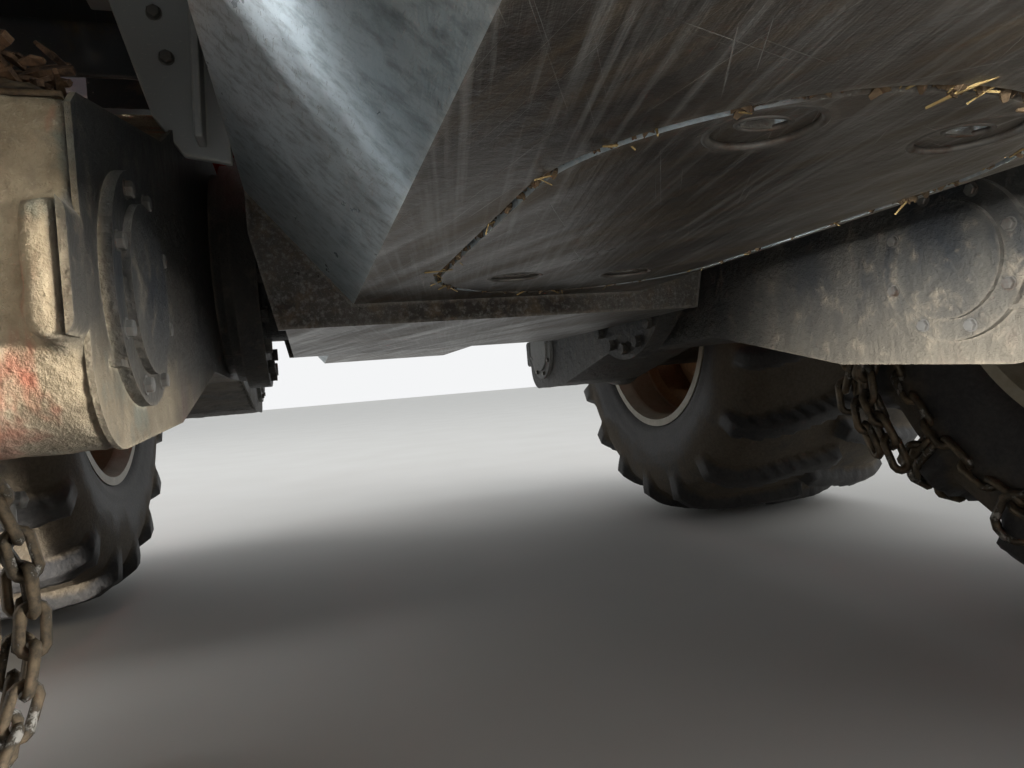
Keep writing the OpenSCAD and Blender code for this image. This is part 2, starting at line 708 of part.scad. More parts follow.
module seat() {
    y = (cab_y0 + cab_y1) / 2 + 120;
    color("black") {
        bar_z(110, cab_floor, cab_floor + 301, 0, y);
        block([-250, y - 260, cab_floor + 300], [250, y + 240, cab_floor + 430]);
        translate([0, y + 200, cab_floor + 420]) rotate([-10, 0, 0]) block([-240, 0, 0], [240, 110, 640]);
        both_sides() block([251, y - 200, cab_floor + 480], [330, y + 180, cab_floor + 530]);
        both_sides() block([249, y + 40, cab_floor + 360], [290, y + 140, cab_floor + 481]);
    }
}

module console() {
    color("dimgray") {
        block([-380, cab_y0 + cab_t + 1, cab_floor], [380, cab_y0 + 260, cab_floor + 470]);
        bar_z(20, cab_floor + 469, cab_floor + 620, 0, cab_y0 + 180);
    }
}

module side_tanks() {
    color("dimgray") both_sides() {
        along_y(cab_y0 + 250, cab_y1 - 250) polygon([
            [frame_half, frame_top - 60], [tyre_in - 70, frame_top - 50], [tyre_in - 34, frame_top - 14],
            [tyre_in - 34, cab_z - 106], [tyre_in - 70, cab_z - 70], [frame_half, cab_z - 70]
        ]);
        for (y = [cab_y0 + 400, cab_y1 - 440]) along_y(y, y + 40) polygon([
            [frame_half, frame_top - 64], [tyre_in - 68, frame_top - 54], [tyre_in - 30, frame_top - 16],
            [tyre_in - 30, cab_z - 104], [tyre_in - 68, cab_z - 66], [frame_half, cab_z - 66]
        ]);
    }
}

// A ladder on each side: three treads between two stringers bolted to the frame
module steps() {
    back = joint_y - 520;
    front = back - 120;
    out = tyre_in - 30;
    rise = (frame_top - 560) / 3;
    color("black") both_sides() {
        for (i = [0:2]) block([frame_half, front, 560 + i * rise], [out, back, 585 + i * rise]);
        for (y = [front, back - 12]) along_y(y, y + 12) polygon([
            [frame_half, 559], [out, 559], [out, 586], [frame_half + 60, frame_top - 40], [frame_half, frame_top - 40]
        ]);
    }
}

module lamps_front() {
    color("white") both_sides() for (x = [200, 560])
        block([x - 60, cab_y0 - 28, cab_top - 80], [x + 60, cab_y0 + 20, cab_top]);
}

module lamps_rear() {
    color("white") both_sides() block([830, rear_y - 110, 1000], [970, rear_y - 40, 1080]);
}

// Silencer on the right mudguard with its pipe and a slanted mouth
module exhaust() {
    z0 = cab_z - 15;
    y = cab_y0 - 110;
    x = -cab_half - 95;
    color("silver") {
        bar_z(78, z0, z0 + 30, x, y);
        bar_z(70, z0 + 29, z0 + 620, x, y);
        bar_z(78, z0 + 560, z0 + 580, x, y);
        difference() {
            bar_z(48, z0 + 619, cab_top - 430, x, y);
            bar_z(42, cab_top - 560, cab_top - 429, x, y);
            translate([x - 60, y, cab_top - 470]) rotate([30, 0, 0]) translate([0, -120, 0]) cube([120, 240, 120]);
        }
    }
}

module rear_frame() {
    nose_half = 130;
    eye_z0 = knee_z - 10 + side_gap;
    eye_z1 = frame_top - 90 - side_gap;
    color("darkslategray") {
        difference() {
            union() {
                bar_z(140, eye_z0, eye_z1, 0, joint_y);
                block([-nose_half, joint_y, eye_z0], [nose_half, joint_y + 420, eye_z1]);
            }
            bar_z(60 + fit, eye_z0 - 1, eye_z1 + 1, 0, joint_y);
        }
        translate([0, 0, eye_z0]) linear_extrude(eye_z1 - eye_z0) polygon([
            [-nose_half, joint_y + 419], [nose_half, joint_y + 419], [420, -380], [-420, -380]
        ]);
        difference() {
            block([-beam_half, -381, beam_z], [beam_half, rear_y - 140, beam_top]);
            axle_body(rear_bogie_y, fit);
        }
        block([-420, -381, eye_z0], [420, 420, beam_top]);
        // Posts and ears that hold the steering cylinders' rods
        both_sides() {
            translate([0, 0, eye_z1 - 60]) linear_extrude(60) polygon([
                [nose_half - 1, joint_y + 200], [steer_b.x + 20, joint_y + 250], [steer_b.x + 50, joint_y + 380],
                [nose_half - 1, joint_y + 420]
            ]);
            block([steer_b.x - 40, steer_b.y + 104, eye_z1 - 1], [steer_b.x + 50, steer_b.y + 128, steer_z + steer_eye + 26]);
            for (z = [steer_z - steer_eye - 26, steer_z + steer_eye + 6])
                translate([0, 0, z]) linear_extrude(20) polygon([
                    [steer_b.x - 34, steer_b.y - 34], [steer_b.x + 34, steer_b.y - 34],
                    [steer_b.x + 50, steer_b.y + 105], [steer_b.x - 40, steer_b.y + 105]
                ]);
            bar_z(32, steer_z + steer_eye + 25, steer_z + steer_eye + 36, steer_b.x, steer_b.y);
        }
    }
}

// Ears over and under a steering cylinder's eye at its pin, with the pin
module steer_ears(at, z0) {
    for (z = [steer_z - steer_eye - 26, steer_z + steer_eye + 6]) translate([0, 0, z]) linear_extrude(20) polygon([
        [at.x - 40, at.y - 60], [at.x + 40, at.y - 60], [at.x + 30, at.y + 34], [at.x - 30, at.y + 34]
    ]);
    block([at.x - 40, at.y - 80, z0 - 40], [at.x + 40, at.y - 59, steer_z + steer_eye + 26]);
    block([at.x - 40, at.y - 180, z0 - 60], [frame_half - side_t + 1, at.y - 59, z0]);
    bar_z(20, steer_z - steer_eye - 26, steer_z + steer_eye + 26, at.x, at.y);
    bar_z(32, steer_z + steer_eye + 25, steer_z + steer_eye + 36, at.x, at.y);
}

module rear_bumper() {
    plate_y = rear_y - 140;
    color("dimgray") {
        along_y(plate_y, plate_y + 30) polygon([
            [-1200, beam_z], [1200, beam_z], [1200, beam_top - 100], [900, beam_top - 20],
            [-900, beam_top - 20], [-1200, beam_top - 100]
        ]);
        both_sides() block([600, plate_y + 29, beam_z], [1200, rear_y, beam_z + 40]);
        // Tow plate with the pin's hole
        difference() {
            block([-110, plate_y + 29, beam_z], [110, rear_y - 5, beam_z + 40]);
            bar_z(tow_r, beam_z - 1, beam_z + 41, 0, rear_y - 52);
        }
    }
}

module rear_axle() {
    color("olivedrab") {
        axle_body(rear_bogie_y);
        both_sides() axle(rear_bogie_y, flange_in);
    }
}

module rear_bogies() {
    color("peru") both_sides() bogie_box(rear_bogie_y);
}

module headboard() {
    color("darkslategray") {
        block([-stake_half, head_y, bunk_arm_z], [stake_half, head_y + 60, bunk_arm_z + 80]);
        block([-stake_half, head_y, head_top - 80], [stake_half, head_y + 60, head_top]);
        for (i = [0:12]) translate([-stake_half + 30 + i * (2 * stake_half - 100) / 12, 0, 0])
            block([-20, head_y + 5, bunk_arm_z + 79], [20, head_y + 55, head_top - 79]);
        both_sides() block([stake_half - 80, head_y, bunk_arm_z + 79], [stake_half, head_y + 60, head_top - 79]);
        for (x = [-160, 100]) block([x, head_y, beam_top], [x + 60, head_y + 60, bunk_arm_z + 1]);
    }
}

BUNKS = [for (i = [0:3]) head_y + 300 + i * (rear_y - 420 - head_y - 300) / 3];

module bunks() {
    arm_top = bunk_arm_z + bunk_h;
    color("darkslategray") for (y = BUNKS) {
        along_y(y - 70, y + 70) polygon([
            [-stake_half, bunk_arm_z], [-720, bunk_arm_z], [-420, beam_top], [420, beam_top], [720, bunk_arm_z],
            [stake_half, bunk_arm_z], [stake_half, arm_top], [720 - 30, arm_top], [420 - 30, bunk_top],
            [-420 + 30, bunk_top], [-720 + 30, arm_top], [-stake_half, arm_top]
        ]);
        both_sides() {
            block([stake_half - 110, y - 85, bunk_arm_z - 20], [stake_half, y + 85, arm_top + 120]);
            bar_z(stake_r, arm_top + 119, stake_top, stake_half - 55, y);
        }
    }
}

module slew_base() {
    color("darkslategray") {
        difference() {
            bar_z(330, beam_top, beam_top + slew_h, 0, 0);
            bar_z(150 + fit, beam_top + slew_h - 90, beam_top + slew_h + 1, 0, 0);
        }
        both_sides() block([280, -120, beam_top], [420, 120, beam_top + slew_h - 90]);
    }
}

module pillar() {
    z0 = beam_top + slew_h + side_gap;
    color("darkslategray") {
        bar_z(150, z0 - side_gap - 80, z0 + 1, 0, 0);
        difference() {
            union() {
                bar_z(290, z0, z0 + 120, 0, 0);
                translate([0, 0, z0 + 119]) linear_extrude(pillar_pin_z - 320 - z0 - 119) square([300, 340], center = true);
            }
        }
        both_sides() difference() {
            along_x(boom_half + side_gap, 150) union() {
                translate([-170, pillar_pin_z - 321]) square([340, 200]);
                hull() {
                    translate([0, pillar_pin_z]) circle(r = 110);
                    translate([-170, pillar_pin_z - 200]) square([340, 60]);
                }
            }
            bar_x(pin_r + fit, boom_half - 10, 160, 0, pillar_pin_z);
        }
        // Ears that hold the lift cylinder
        both_sides() along_x(eye_half + side_gap, eye_half + side_gap + 20) polygon([
            [169, lift_a[1] - 110], [lift_a[0] + 30, lift_a[1] - 45], [lift_a[0] + 45, lift_a[1]],
            [lift_a[0] + 30, lift_a[1] + 40], [169, lift_a[1] + 60]
        ]);
        bar_x(30, -eye_half - 26, eye_half + 26, lift_a[0], lift_a[1]);
    }
}

module lift_boom() {
    ear = eye_half + side_gap;
    color("darkslategray") translate([0, 0, pillar_pin_z]) rotate([boom_a, 0, 0]) {
        along_x(-boom_half, boom_half) polygon([
            [-60, -80], [0, -120], [400, -190], [1100, -190], [boom_l - 260, -110],
            [boom_l - 200, 90], [0, 130], [-60, 80]
        ]);
        both_sides() along_x(boom_half - 30, boom_half + 22) hull() {
            translate([boom_l, 0]) circle(r = 100);
            translate([boom_l - 420, -90]) square([60, 170]);
        }
        bar_x(pin_r, -168, 168, 0, 0);
        both_sides() bar_x(pin_r + 22, 152, 168, 0, 0);
        bar_x(pin_r, -boom_half - 22, boom_half + 22, boom_l, 0);
        // Ears of the two cylinders
        both_sides() along_x(ear, ear + 20) {
            polygon([
                [lift_s - 130, -180], [lift_s - 45, -lift_off - 30], [lift_s + 45, -lift_off - 30], [lift_s + 130, -180]
            ]);
            polygon([
                [jib_s - 110, 90], [jib_s - 40, jib_off + 35], [jib_s + 40, jib_off + 35], [jib_s + 110, 90]
            ]);
        }
        bar_x(30, -ear - 20, ear + 20, jib_s, jib_off);
    }
}

module jib() {
    hub = boom_half - 30 - side_gap;
    ear = eye_half + side_gap;
    color("darkslategray") difference() {
        union() {
            translate(knuckle) rotate([-jib_a, 0, 0]) {
                along_x(-hub, hub) circle(r = 96);
                along_x(-hub, hub) polygon([[0, -96], [0, 96], [330, 130], [330, -110]]);
                along_x(-jib_half, jib_half) translate([300, -110]) square([jib_mouth - 300, 240]);
            }
            // Lever that the cylinder's rod turns
            both_sides() along_x(ear, hub) translate([knuckle.y, knuckle.z]) rotate(lever_a) polygon([
                [0, -80], [lever_l - 20, -48], [lever_l + 45, -25], [lever_l + 45, 25], [lever_l - 20, 48], [0, 80]
            ]);
        }
        translate(knuckle) bar_x(pin_r + fit, -200, 200, 0, 0);
        translate(knuckle) rotate([-jib_a, 0, 0])
            along_x(-jib_half + 12, jib_half - 12) translate([tele_0 - 20, -98]) square([jib_l, 216]);
    }
}

module telescope() {
    color("dimgray") translate(knuckle) rotate([-jib_a, 0, 0]) {
        along_x(-jib_half + 24, jib_half - 24) translate([tele_0, -86]) square([jib_l - 170 - tele_0, 192]);
        along_x(-jib_half + 12 + fit, jib_half - 12 - fit) translate([tele_0, -98 + fit]) square([120, 216 - 2 * fit]);
        difference() {
            along_x(-64, 64) hull() {
                translate([jib_l, 0]) circle(r = 70);
                translate([jib_l - 200, -80]) square([60, 170]);
            }
            along_x(-40, 40) translate([jib_l - 150, -100]) square([300, 220]);
            bar_x(30 + fit, -70, 70, jib_l, 0);
        }
    }
}

module link() {
    color("dimgray") translate(tip) {
        along_x(-34, 34) hull() {
            circle(r = 55);
            translate([0, -link_h + 70]) circle(r = 60);
        }
        bar_x(30, -78, 78, 0, 0);
        both_sides() bar_x(44, 68, 78, 0, 0);
        difference() {
            bar_z(95, -link_h - rotator_h + 40, -link_h + 30, 0, 0);
            bar_z(50 + fit, -link_h - rotator_h + 39, -link_h - rotator_h + 120, 0, 0);
        }
    }
}

module grapple_head() {
    color("darkslategray") translate([0, tip.y, grapple_z]) {
        bar_z(90, -40, 34, 0, 0);
        bar_z(50, 33, 112, 0, 0);
        block([-100, -150, -110], [100, 150, -39]);
        for (s = [-1, 1]) difference() {
            translate([0, s * 135, 0]) along_y(-15, 15) hull() {
                for (x = [-jaw_x, jaw_x]) translate([x, jaw_z]) circle(r = 60);
                translate([-150, -110]) square([300, 40]);
            }
            for (x = [-jaw_x, jaw_x]) translate([0, s * 135, 0]) bar_y(30 + fit, -20, 20, x, jaw_z);
        }
    }
}

// One jaw: an ear at its pin, and a curved plate that bends out and back to the middle
module jaw() {
    c = [60, -grapple_h + 300];
    translate([0, tip.y, grapple_z]) {
        along_y(-112, 112) hull() {
            translate([jaw_x, jaw_z]) circle(r = 50);
            translate([c.x + 246, c.y + 150]) circle(r = 34);
        }
        bar_y(30, -152, 152, jaw_x, jaw_z);
        difference() {
            along_y(-jaw_w / 2, jaw_w / 2) intersection() {
                difference() {
                    translate(c) circle(r = 300);
                    translate(c) circle(r = 268);
                }
                polygon([[3, -grapple_h - 10], [420, -grapple_h - 10], [420, c.y + 190], [c.x, c.y], [3, c.y - 60]]);
            }
            for (y = [-jaw_w / 2 + 45, 22]) along_y(y, y + jaw_w / 2 - 67)
                polygon([c, c + [400, 20], c + [400, -260]]);
            for (y = [-jaw_w / 2 + 45, 22]) along_y(y, y + jaw_w / 2 - 67)
                polygon([c, c + [330, -340], c + [70, -400]]);
        }
    }
}

module jaw_left() {
    color("darkslategray") jaw();
}

module jaw_right() {
    color("darkslategray") mirror([1, 0, 0]) jaw();
}

// Half of a cylinder in the (y, z) plane: its barrel from pin a, or its rod to pin b, which starts at rod_0
module side_cyl(a, b, barrel_r, rod_r, barrel_l, rod_0, part) {
    d = b - a;
    l = norm(d);
    translate([0, a[0], a[1]]) rotate([atan2(d[1], d[0]), 0, 0]) {
        if (part == "barrel") difference() {
            union() {
                bar_y(barrel_r, 100, barrel_l, 0, 0);
                bar_x(48, -eye_half, eye_half, 0, 0);
                block([-eye_half, 0, -30], [eye_half, 102, 30]);
            }
            bar_y(rod_r + fit, 116, barrel_l + 1, 0, 0);
            bar_x(30 + fit, -60, 60, 0, 0);
        }
        if (part == "rod") {
            bar_y(rod_r, rod_0, l - 40, 0, 0);
            bar_x(45, -eye_half, eye_half, l, 0);
            block([-eye_half, l - 62, -30], [eye_half, l, 30]);
        }
    }
}

module lift_barrel() {
    color("black") side_cyl(lift_a, lift_b, 75, 42, 800, 240, "barrel");
}

module lift_rod() {
    color("silver") side_cyl(lift_a, lift_b, 75, 42, 800, 240, "rod");
}

module jib_barrel() {
    color("black") side_cyl(jib_pin_a, jib_pin_b, 62, 36, 860, 215, "barrel");
}

module jib_rod() {
    color("silver") side_cyl(jib_pin_a, jib_pin_b, 62, 36, 860, 215, "rod");
}

module steer_cyl(side, part) {
    a = [side * steer_a.x, steer_a.y];
    b = [side * steer_b.x, steer_b.y];
    d = b - a;
    l = norm(d);
    translate([a.x, a.y, steer_z]) rotate(atan2(d.y, d.x)) {
        if (part == "barrel") difference() {
            union() {
                translate([50, 0, 0]) rotate([0, 90, 0]) cylinder(r = 45, h = 390);
                bar_z(38, -steer_eye, steer_eye, 0, 0);
                block([0, -25, -30], [52, 25, 30]);
            }
            translate([60, 0, 0]) rotate([0, 90, 0]) cylinder(r = 25 + fit, h = 400);
            bar_z(20 + fit, -steer_eye - 1, steer_eye + 1, 0, 0);
        }
        if (part == "rod") {
            translate([242, 0, 0]) rotate([0, 90, 0]) cylinder(r = 25, h = l - 272);
            bar_z(38, -steer_eye, steer_eye, l, 0);
        }
    }
}

module tyre_at(i) {
    color("black") wheel_at(WHEELS[i]) tyre(WHEELS[i][3] == 1);
}

module rim_at(i) {
    color("lightgray") wheel_at(WHEELS[i]) rim();
}

front_frame();
belly_pan();
belly_hatch();
engine();
front_axle();
front_bogies();
fenders();
hood();
cab_shell();
cab_roof();
cab_glass();
cab_door();
door_glass();
seat();
console();
side_tanks();
steps();
lamps_front();
lamps_rear();
exhaust();
rear_frame();
rear_bumper();
rear_axle();
rear_bogies();
headboard();
bunks();
slew_base();
pillar();
lift_boom();
jib();
telescope();
link();
grapple_head();
jaw_left();
jaw_right();
lift_barrel();
lift_rod();
jib_barrel();
jib_rod();
color("black") steer_cyl(1, "barrel");  // steer_barrel_left
color("silver") steer_cyl(1, "rod");  // steer_rod_left
color("black") steer_cyl(-1, "barrel");  // steer_barrel_right
color("silver") steer_cyl(-1, "rod");  // steer_rod_right
for (i = [0:7]) {
    tyre_at(i);
    rim_at(i);
}
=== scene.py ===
"""Looks for a forestry forwarder: paint, mud, rubber and the small pieces that the frame carries."""
import json
import math

import bmesh
import bpy
import numpy as np
from mathutils import Matrix

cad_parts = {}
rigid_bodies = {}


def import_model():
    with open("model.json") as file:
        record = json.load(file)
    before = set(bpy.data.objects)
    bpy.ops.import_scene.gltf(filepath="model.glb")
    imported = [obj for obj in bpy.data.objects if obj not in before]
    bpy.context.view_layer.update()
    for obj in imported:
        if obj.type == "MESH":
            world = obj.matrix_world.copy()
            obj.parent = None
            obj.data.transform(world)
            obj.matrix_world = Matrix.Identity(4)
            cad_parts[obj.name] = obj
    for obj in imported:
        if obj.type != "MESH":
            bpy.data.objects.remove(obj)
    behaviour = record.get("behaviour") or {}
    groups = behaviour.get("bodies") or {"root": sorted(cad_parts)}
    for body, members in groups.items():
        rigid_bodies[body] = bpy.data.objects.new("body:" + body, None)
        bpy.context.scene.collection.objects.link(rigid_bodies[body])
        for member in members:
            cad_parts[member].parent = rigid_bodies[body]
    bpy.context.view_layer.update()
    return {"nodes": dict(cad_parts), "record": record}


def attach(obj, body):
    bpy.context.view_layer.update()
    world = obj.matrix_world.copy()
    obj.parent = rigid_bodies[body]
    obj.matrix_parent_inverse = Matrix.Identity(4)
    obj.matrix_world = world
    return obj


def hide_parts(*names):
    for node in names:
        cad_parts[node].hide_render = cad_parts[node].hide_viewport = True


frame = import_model()
NODES = frame["nodes"]
SLOT_OF = {s["node"]: s["material_slot"] for s in frame["record"]["subparts"]}
scene = bpy.context.scene
scene.view_settings.view_transform = "Standard"

# Sizes that the machine's pieces share, in metres
FRONT_BOGIE_Y, REAR_BOGIE_Y = -3.05, 2.10
WHEEL_R, RIM_R, TYRE_MID, WHEEL_STEP = 0.665, 0.34, 1.155, 0.75
HATCH = (-0.037, -2.295)
# The round covers on the inner walls of the front bogie boxes: distance along the machine, height and radius
COVER_YS, COVER_Z, COVER_R = (-3.80, -2.30), 0.599, 0.0985
WHEELS = [(end + side + place, s, y + shift)
          for end, y in (("f", FRONT_BOGIE_Y), ("r", REAR_BOGIE_Y))
          for side, s in (("l", 1), ("r", -1))
          for place, shift in (("1", -WHEEL_STEP), ("2", WHEEL_STEP))]


def shown(name, data):
    """A new object in the scene that holds a mesh, a lamp or a camera."""
    obj = bpy.data.objects.new(name, data)
    scene.collection.objects.link(obj)
    return obj


def aimed(obj, right, up, back, place):
    """Stands a camera or a lamp at a place; it looks away from its back."""
    turn = np.eye(4)
    turn[:3] = np.array([right, up, back, place]).T
    obj.matrix_world = Matrix(turn.tolist())


# Camera

def aim_camera():
    """The camera crouches half a metre above the ground, behind the front axle, and looks forward under the belly."""
    lens = bpy.data.cameras.new("camera")
    lens.sensor_width, lens.lens, lens.clip_start, lens.clip_end = 36.0, 24.3, 0.01, 300.0
    scene.camera = shown("camera", lens)
    aimed(scene.camera, (-0.95507, 0.28444, -0.08329), (-0.08019, 0.02254, 0.99652), (0.28533, 0.95843, 0.00128),
          (0.309, -1.663, 0.497))


# Materials

# A Mix node that lays colour 7 over colour 6 by the share in 0, and a Map Range whose ends are soft
BLEND = {"out": 2, "data_type": "RGBA"}
EASED = {"interpolation_type": "SMOOTHSTEP"}


def linear(code):
    """Turns an sRGB colour written as hex into linear light, by the sRGB curve."""
    levels = [int(code[i:i + 2], 16) / 255 for i in (1, 3, 5)]
    return tuple(v / 12.92 if v <= 0.04045 else ((v + 0.055) / 1.055) ** 2.4 for v in levels) + (1.0,)


def fill(tree, node, inputs):
    """Links or sets the inputs of a node; text is a colour's hex code."""
    for name, value in inputs.items():
        if isinstance(value, bpy.types.NodeSocket):
            tree.links.new(value, node.inputs[name])
        else:
            node.inputs[name].default_value = linear(value) if isinstance(value, str) else value


def add(tree, kind, inputs=None, out=0, **settings):
    """Adds one node with its settings, links or fills its inputs, and gives back one of its outputs."""
    node = tree.nodes.new("ShaderNode" + kind)
    for name, value in settings.items():
        setattr(node, name, value)
    fill(tree, node, inputs or {})
    return node.outputs[out]


def start(name):
    """A new material: its tree, its shader, a short way to add nodes, and the piece's own place in metres."""
    material = bpy.data.materials.new(name)
    material.use_nodes = True
    tree = material.node_tree

    def put(kind, inputs=None, out=0, **settings):
        return add(tree, kind, inputs, out, **settings)
    return material, tree.nodes["Principled BSDF"], put, put("TexCoord", out="Object")


def finish(material, shader, colour, rough, height=None, depth=0.001, metal=0.0):
    """Gives the shader its colour, roughness, metal share and a bump of so many metres."""
    tree = material.node_tree
    fill(tree, shader, {"Base Color": colour, "Roughness": rough, "Metallic": metal})
    if height is not None:
        bump = add(tree, "Bump", {"Height": height, "Distance": depth, "Strength": 1.0}, out="Normal")
        tree.links.new(bump, shader.inputs["Normal"])
    return material


def drawn_lines(put, place, turn, seed, low, high):
    """Thin scratches: a noise squeezed to 1.6 mm across and drawn out to 220 mm along, cut off near its peaks."""
    across, along = 0.0016, 0.22
    lengths = put("Mapping", {"Vector": place, "Location": (seed, seed, seed), "Rotation": (0, 0, turn),
                              "Scale": (across, along, across)}, vector_type="TEXTURE")
    peaks = put("TexNoise", {"Vector": lengths, "Scale": 1.0, "Detail": 1.5})
    return put("MapRange", {"Value": peaks, "From Min": low, "From Max": high}, **EASED)


def worn_edge(put, fleck, reach=0.006):
    """1 on corners: there the normal rounded over a few millimetres leaves the flat one; noise breaks it up."""
    round_off = put("Bevel", {"Radius": reach}, samples=2)
    flat = put("NewGeometry", out="Normal")
    same = put("VectorMath", {0: round_off, 1: flat}, out="Value", operation="DOT_PRODUCT")
    edge = put("MapRange", {"Value": same, "From Min": 0.985, "From Max": 0.9})
    broken = put("MapRange", {"Value": fleck, "From Min": 0.35, "From Max": 0.6})
    return put("Math", {0: edge, 1: broken}, operation="MULTIPLY")


def scuffed_plate(name, bare, film, dust, dust_share):
    """Thick guard plate that drags over stumps: paint long gone, oxide and dried clay with bright drawn scratches.

    The slanted sides, which only brush past things, are coloured a smooth pale blue-grey, palest high up: a painted
    reflection of the sky on the dark plate.
    """
    material, shader, put, place = start(name)
    # Stains 300 mm wide, and a mottle of 12 mm
    stains = put("TexNoise", {"Vector": place, "Scale": 3.2, "Detail": 5.0, "Roughness": 0.6, "Distortion": 0.4})
    mottle = put("TexNoise", {"Vector": place, "Scale": 85.0, "Detail": 4.0, "Roughness": 0.7})
    # Smears that lie along the machine, 30 mm by 500 mm, brush marks of 6 mm by 250 mm, and runs down the slanted sides
    drawn = []
    for turn, lengths, detail, rough in (((0, 0, 0.3), (0.03, 0.5, 0.03), 5.0, 0.68),
                                         ((0, 0, -0.2), (0.006, 0.25, 0.006), 5.0, 0.6),
                                         ((0.55, 0, 0), (0.012, 0.012, 0.35), 4.0, 0.7)):
        out = put("Mapping", {"Vector": place, "Rotation": turn, "Scale": lengths}, vector_type="TEXTURE")
        drawn.append(put("TexNoise", {"Vector": out, "Scale": 1.0, "Detail": detail, "Roughness": rough}))
    smears, fine, runs = drawn
    oxide = put("MapRange", {"Value": stains, "From Min": 0.38, "From Max": 0.62})
    base = put("Mix", {0: oxide, 6: film, 7: bare}, **BLEND)
    for value, low, high, most, tone in ((smears, 0.47, 0.7, dust_share, dust), (fine, 0.5, 0.72, 0.5, "#8d8e8a"),
                                         (mottle, 0.56, 0.8, 0.5, "#4a3524")):
        share = put("MapRange", {"Value": value, "From Min": low, "From Max": high, "To Max": most})
        base = put("Mix", {0: share, 6: base, 7: tone}, **BLEND)
    # The slanted sides, told by their normal, get a painted sky reflection: pale blue-grey, palest high up
    lean = put("Math", {0: put("SeparateXYZ", {0: put("NewGeometry", out="Normal")}, out="X")}, operation="ABSOLUTE")
    lean = put("MapRange", {"Value": lean, "From Min": 0.45, "From Max": 0.6})
    # Painted sky reflection: the higher on a slanted side, the paler its blue-grey, and paler again over the oxide
    # stains
    high = put("MapRange", {"Value": put("SeparateXYZ", {0: place}, out="Z"), "From Min": 0.66, "From Max": 0.95})
    sheen = put("Math", {0: high, 1: put("Math", {0: oxide, 1: 0.45}, operation="MULTIPLY")}, operation="ADD")
    skin = put("Mix", {0: sheen, 6: "#8f9fa7", 7: "#dbe4e8"}, **BLEND)
    share = put("MapRange", {"Value": runs, "From Min": 0.46, "From Max": 0.68, "To Max": 0.55})
    skin = put("Mix", {0: share, 6: skin, 7: "#4c5558"}, **BLEND)
    # The slanted sides take the painted reflection in place of the plate's own colour
    base = put("Mix", {0: lean, 6: base, 7: skin}, **BLEND)
    scratch = 0.0
    for turn, seed, low in ((0.15, 3.0, 0.66), (-0.5, 7.0, 0.70), (0.9, 11.0, 0.70), (1.9, 17.0, 0.72)):
        line = drawn_lines(put, place, turn, seed, low, low + 0.05)
        scratch = put("Math", {0: scratch, 1: line}, operation="MAXIMUM")
    patchy = put("MapRange", {"Value": stains, "From Min": 0.4, "From Max": 0.6, "To Min": 0.1, "To Max": 0.6})
    scratch = put("Math", {0: scratch, 1: patchy}, operation="MULTIPLY")
    base = put("Mix", {0: scratch, 6: base, 7: "#a9aaa4"}, **BLEND)
    rubbed = put("Mix", {0: lean, 6: "#918d84", 7: "#d2d5d0"}, **BLEND)
    base = put("Mix", {0: worn_edge(put, mottle, 0.009), 6: base, 7: rubbed}, **BLEND)
    gloss = put("MapRange", {"Value": smears, "From Min": 0.3, "From Max": 0.75, "To Min": 0.26, "To Max": 0.55})
    relief = put("Math", {0: put("Math", {0: mottle, 1: fine}, operation="ADD"), 1: scratch}, operation="SUBTRACT")
    return finish(material, shader, base, gloss, relief, 0.0009, 0.35)


